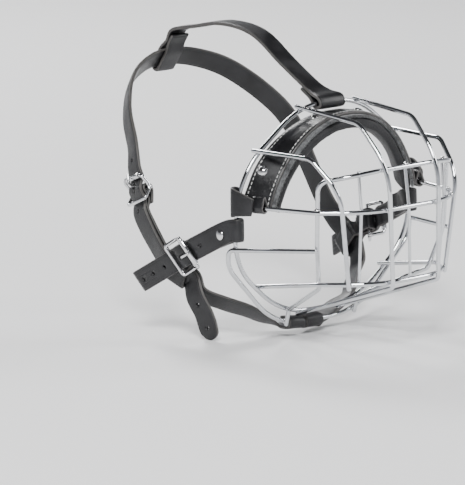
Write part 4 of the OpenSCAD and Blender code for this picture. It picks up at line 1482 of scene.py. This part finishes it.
    def build(self) -> None:
        """Makes and dresses the harness."""
        kit, cage = self.kit, Body.CAGE.value
        for node, piece in (("cheek_strap", self.cheek()), ("slider", self.slider())):
            finish = kit.ribbed if node == "cheek_strap" else kit.leather
            kit.dress(mirrored(piece, f"{node}_left_leather"), finish, "leather", cage, f"{node}_left")
            kit.dress(piece, finish, "leather", cage, f"{node}_right")
        neck_rows, throat_rows = self.neck_routes()
        neck = strap("neck_strap_leather", neck_rows, STRAP_T)
        holes = [(Vector(p), TIP_FACE) for p in ((-71.9, 36.5, -76.5), (-76.0, 40.6, -60.8))]
        holes += [(NECK.at(x, 0, 0), NECK.z) for x in (-20.5, 14.0)] + self.prong_slot(NECK)
        kit.dress(punched(neck, holes, self.hole_r), kit.leather, "leather", cage, "neck_strap")
        throat = strap("throat_strap_leather", throat_rows, BASE_T)
        kit.dress(throat, kit.leather, "leather", cage, "throat_strap")
        top, nape_rivet = self.top()
        kit.dress(top, kit.leather, "leather", cage, "top_strap")
        out = Vector((-1, 0, 0))
        side = self.rivet_at + Vector((-STRAP_T / 2 - 0.05, 0, 0))
        cheeks = kit.tree.scatter("cheek_rivet_heads", [(side, out), (flip(side), -out)], kit.head, kit.rivet)
        kit.dress(cheeks, kit.rivet, "rivet", cage, "cheek_rivets")
        nape = kit.tree.scatter("nape_rivet_head", [(nape_rivet, NAPE_OUT)], kit.head, kit.rivet)
        kit.dress(nape, kit.rivet, "rivet", cage, "nape_rivet")


# ---------------------------------------------------------------- studio

@dataclass
class Studio:
    """Floor, lights and camera."""

    lens: float = 297.4
    azimuth: float = -42.0
    rise: float = 10.48
    roll: float = -1.04
    place: tuple[float, float, float] = (-1.7851, -1.8916, 0.4569)
    horizon: float = 0.8
    zenith: float = 0.06

    def floor(self) -> None:
        """A wide plain floor under the muzzle."""
        low = CAD_BOX[0][2] / MM - 0.5
        reach = 12000.0
        outline = ((-reach, -reach), (reach, -reach), (reach, reach), (-reach, reach))
        verts = [Vector((x, y, low)) for x, y in outline]
        floor = make_object("studio_floor", verts, [[0, 1, 2, 3]])
        floor.data.materials.append(FloorFinish("floor_plain").build())

    def light(self, name: str, place: tuple[float, float, float], size: float, power: float) -> None:
        """A soft square light aimed at the muzzle.

        Args:
            name: Name of the light.
            place: Its place in metres.
            size: Side of the square in metres.
            power: Power in watts.
        """
        lamp = bpy.data.lights.new(name, "AREA")
        lamp.size, lamp.energy = size, power
        obj = bpy.data.objects.new(name, lamp)
        obj.location = place
        obj.rotation_euler = (Vector((0, 0.02, 0)) - obj.location).to_track_quat("-Z", "Y").to_euler()
        bpy.context.collection.objects.link(obj)

    def camera(self) -> None:
        """The camera, turned to look along its own back direction."""
        a, e, r = (math.radians(v) for v in (self.azimuth, self.rise, self.roll))
        back = Vector((math.sin(a) * math.cos(e), -math.cos(a) * math.cos(e), math.sin(e)))
        right = Vector((math.cos(a), math.sin(a), 0))
        up = back.cross(right)
        right, up = right * math.cos(r) + up * math.sin(r), up * math.cos(r) - right * math.sin(r)
        data = bpy.data.cameras.new("studio_camera")
        data.lens, data.sensor_width = self.lens, 36.0
        data.clip_end = 60.0
        cam = bpy.data.objects.new("studio_camera", data)
        bpy.context.collection.objects.link(cam)
        turn = Matrix((right, up, back)).transposed().to_4x4()
        cam.matrix_world = Matrix.Translation(Vector(self.place)) @ turn
        bpy.context.scene.camera = cam

    def world(self) -> None:
        """A surround that is pale at the horizon and dark overhead, so that bright metal shows its form."""
        world = bpy.data.worlds.new("studio_world")
        world.use_nodes = True
        tree = world.node_tree
        sky = tree.nodes["Background"]
        sky.inputs["Color"].default_value = (0.93, 0.95, 1.0, 1.0)
        way, split = tree.nodes.new("ShaderNodeTexCoord"), tree.nodes.new("ShaderNodeSeparateXYZ")
        fade = tree.nodes.new("ShaderNodeMapRange")
        fade.interpolation_type = "SMOOTHSTEP"
        ends = {"From Min": 0.04, "From Max": 0.5, "To Min": self.horizon, "To Max": self.zenith}
        for key, value in ends.items():
            fade.inputs[key].default_value = value
        tree.links.new(way.outputs["Generated"], split.inputs[0])
        tree.links.new(split.outputs["Z"], fade.inputs["Value"])
        tree.links.new(fade.outputs[0], sky.inputs["Strength"])
        bpy.context.scene.world = world

    def build(self) -> None:
        """Sets up the whole studio."""
        self.floor()
        self.world()
        self.light("key_light", (-1.6, -1.5, 2.0), 0.9, 110.0)
        self.light("fill_light", (1.8, -1.2, 1.1), 0.8, 30.0)
        self.light("back_light", (0.6, 2.0, 1.6), 0.8, 62.0)
        self.camera()


def main() -> None:
    """Builds the studio and the muzzle."""
    logging.basicConfig(level=logging.INFO, format="%(name)s: %(message)s")
    Studio().build()
    kit = Kit()
    cage = Cage(kit)
    cage.build()
    NosePad(kit, cage).build()
    Harness(kit, cage).build()
    for side in Side:
        Buckle(kit, CHEEK, side, "cheek_{}_" + side.name.lower()).build()
    Buckle(kit, NECK, Side.RIGHT, "neck_{}").build()
    kit.clear()


if __name__ == "__main__":
    main()
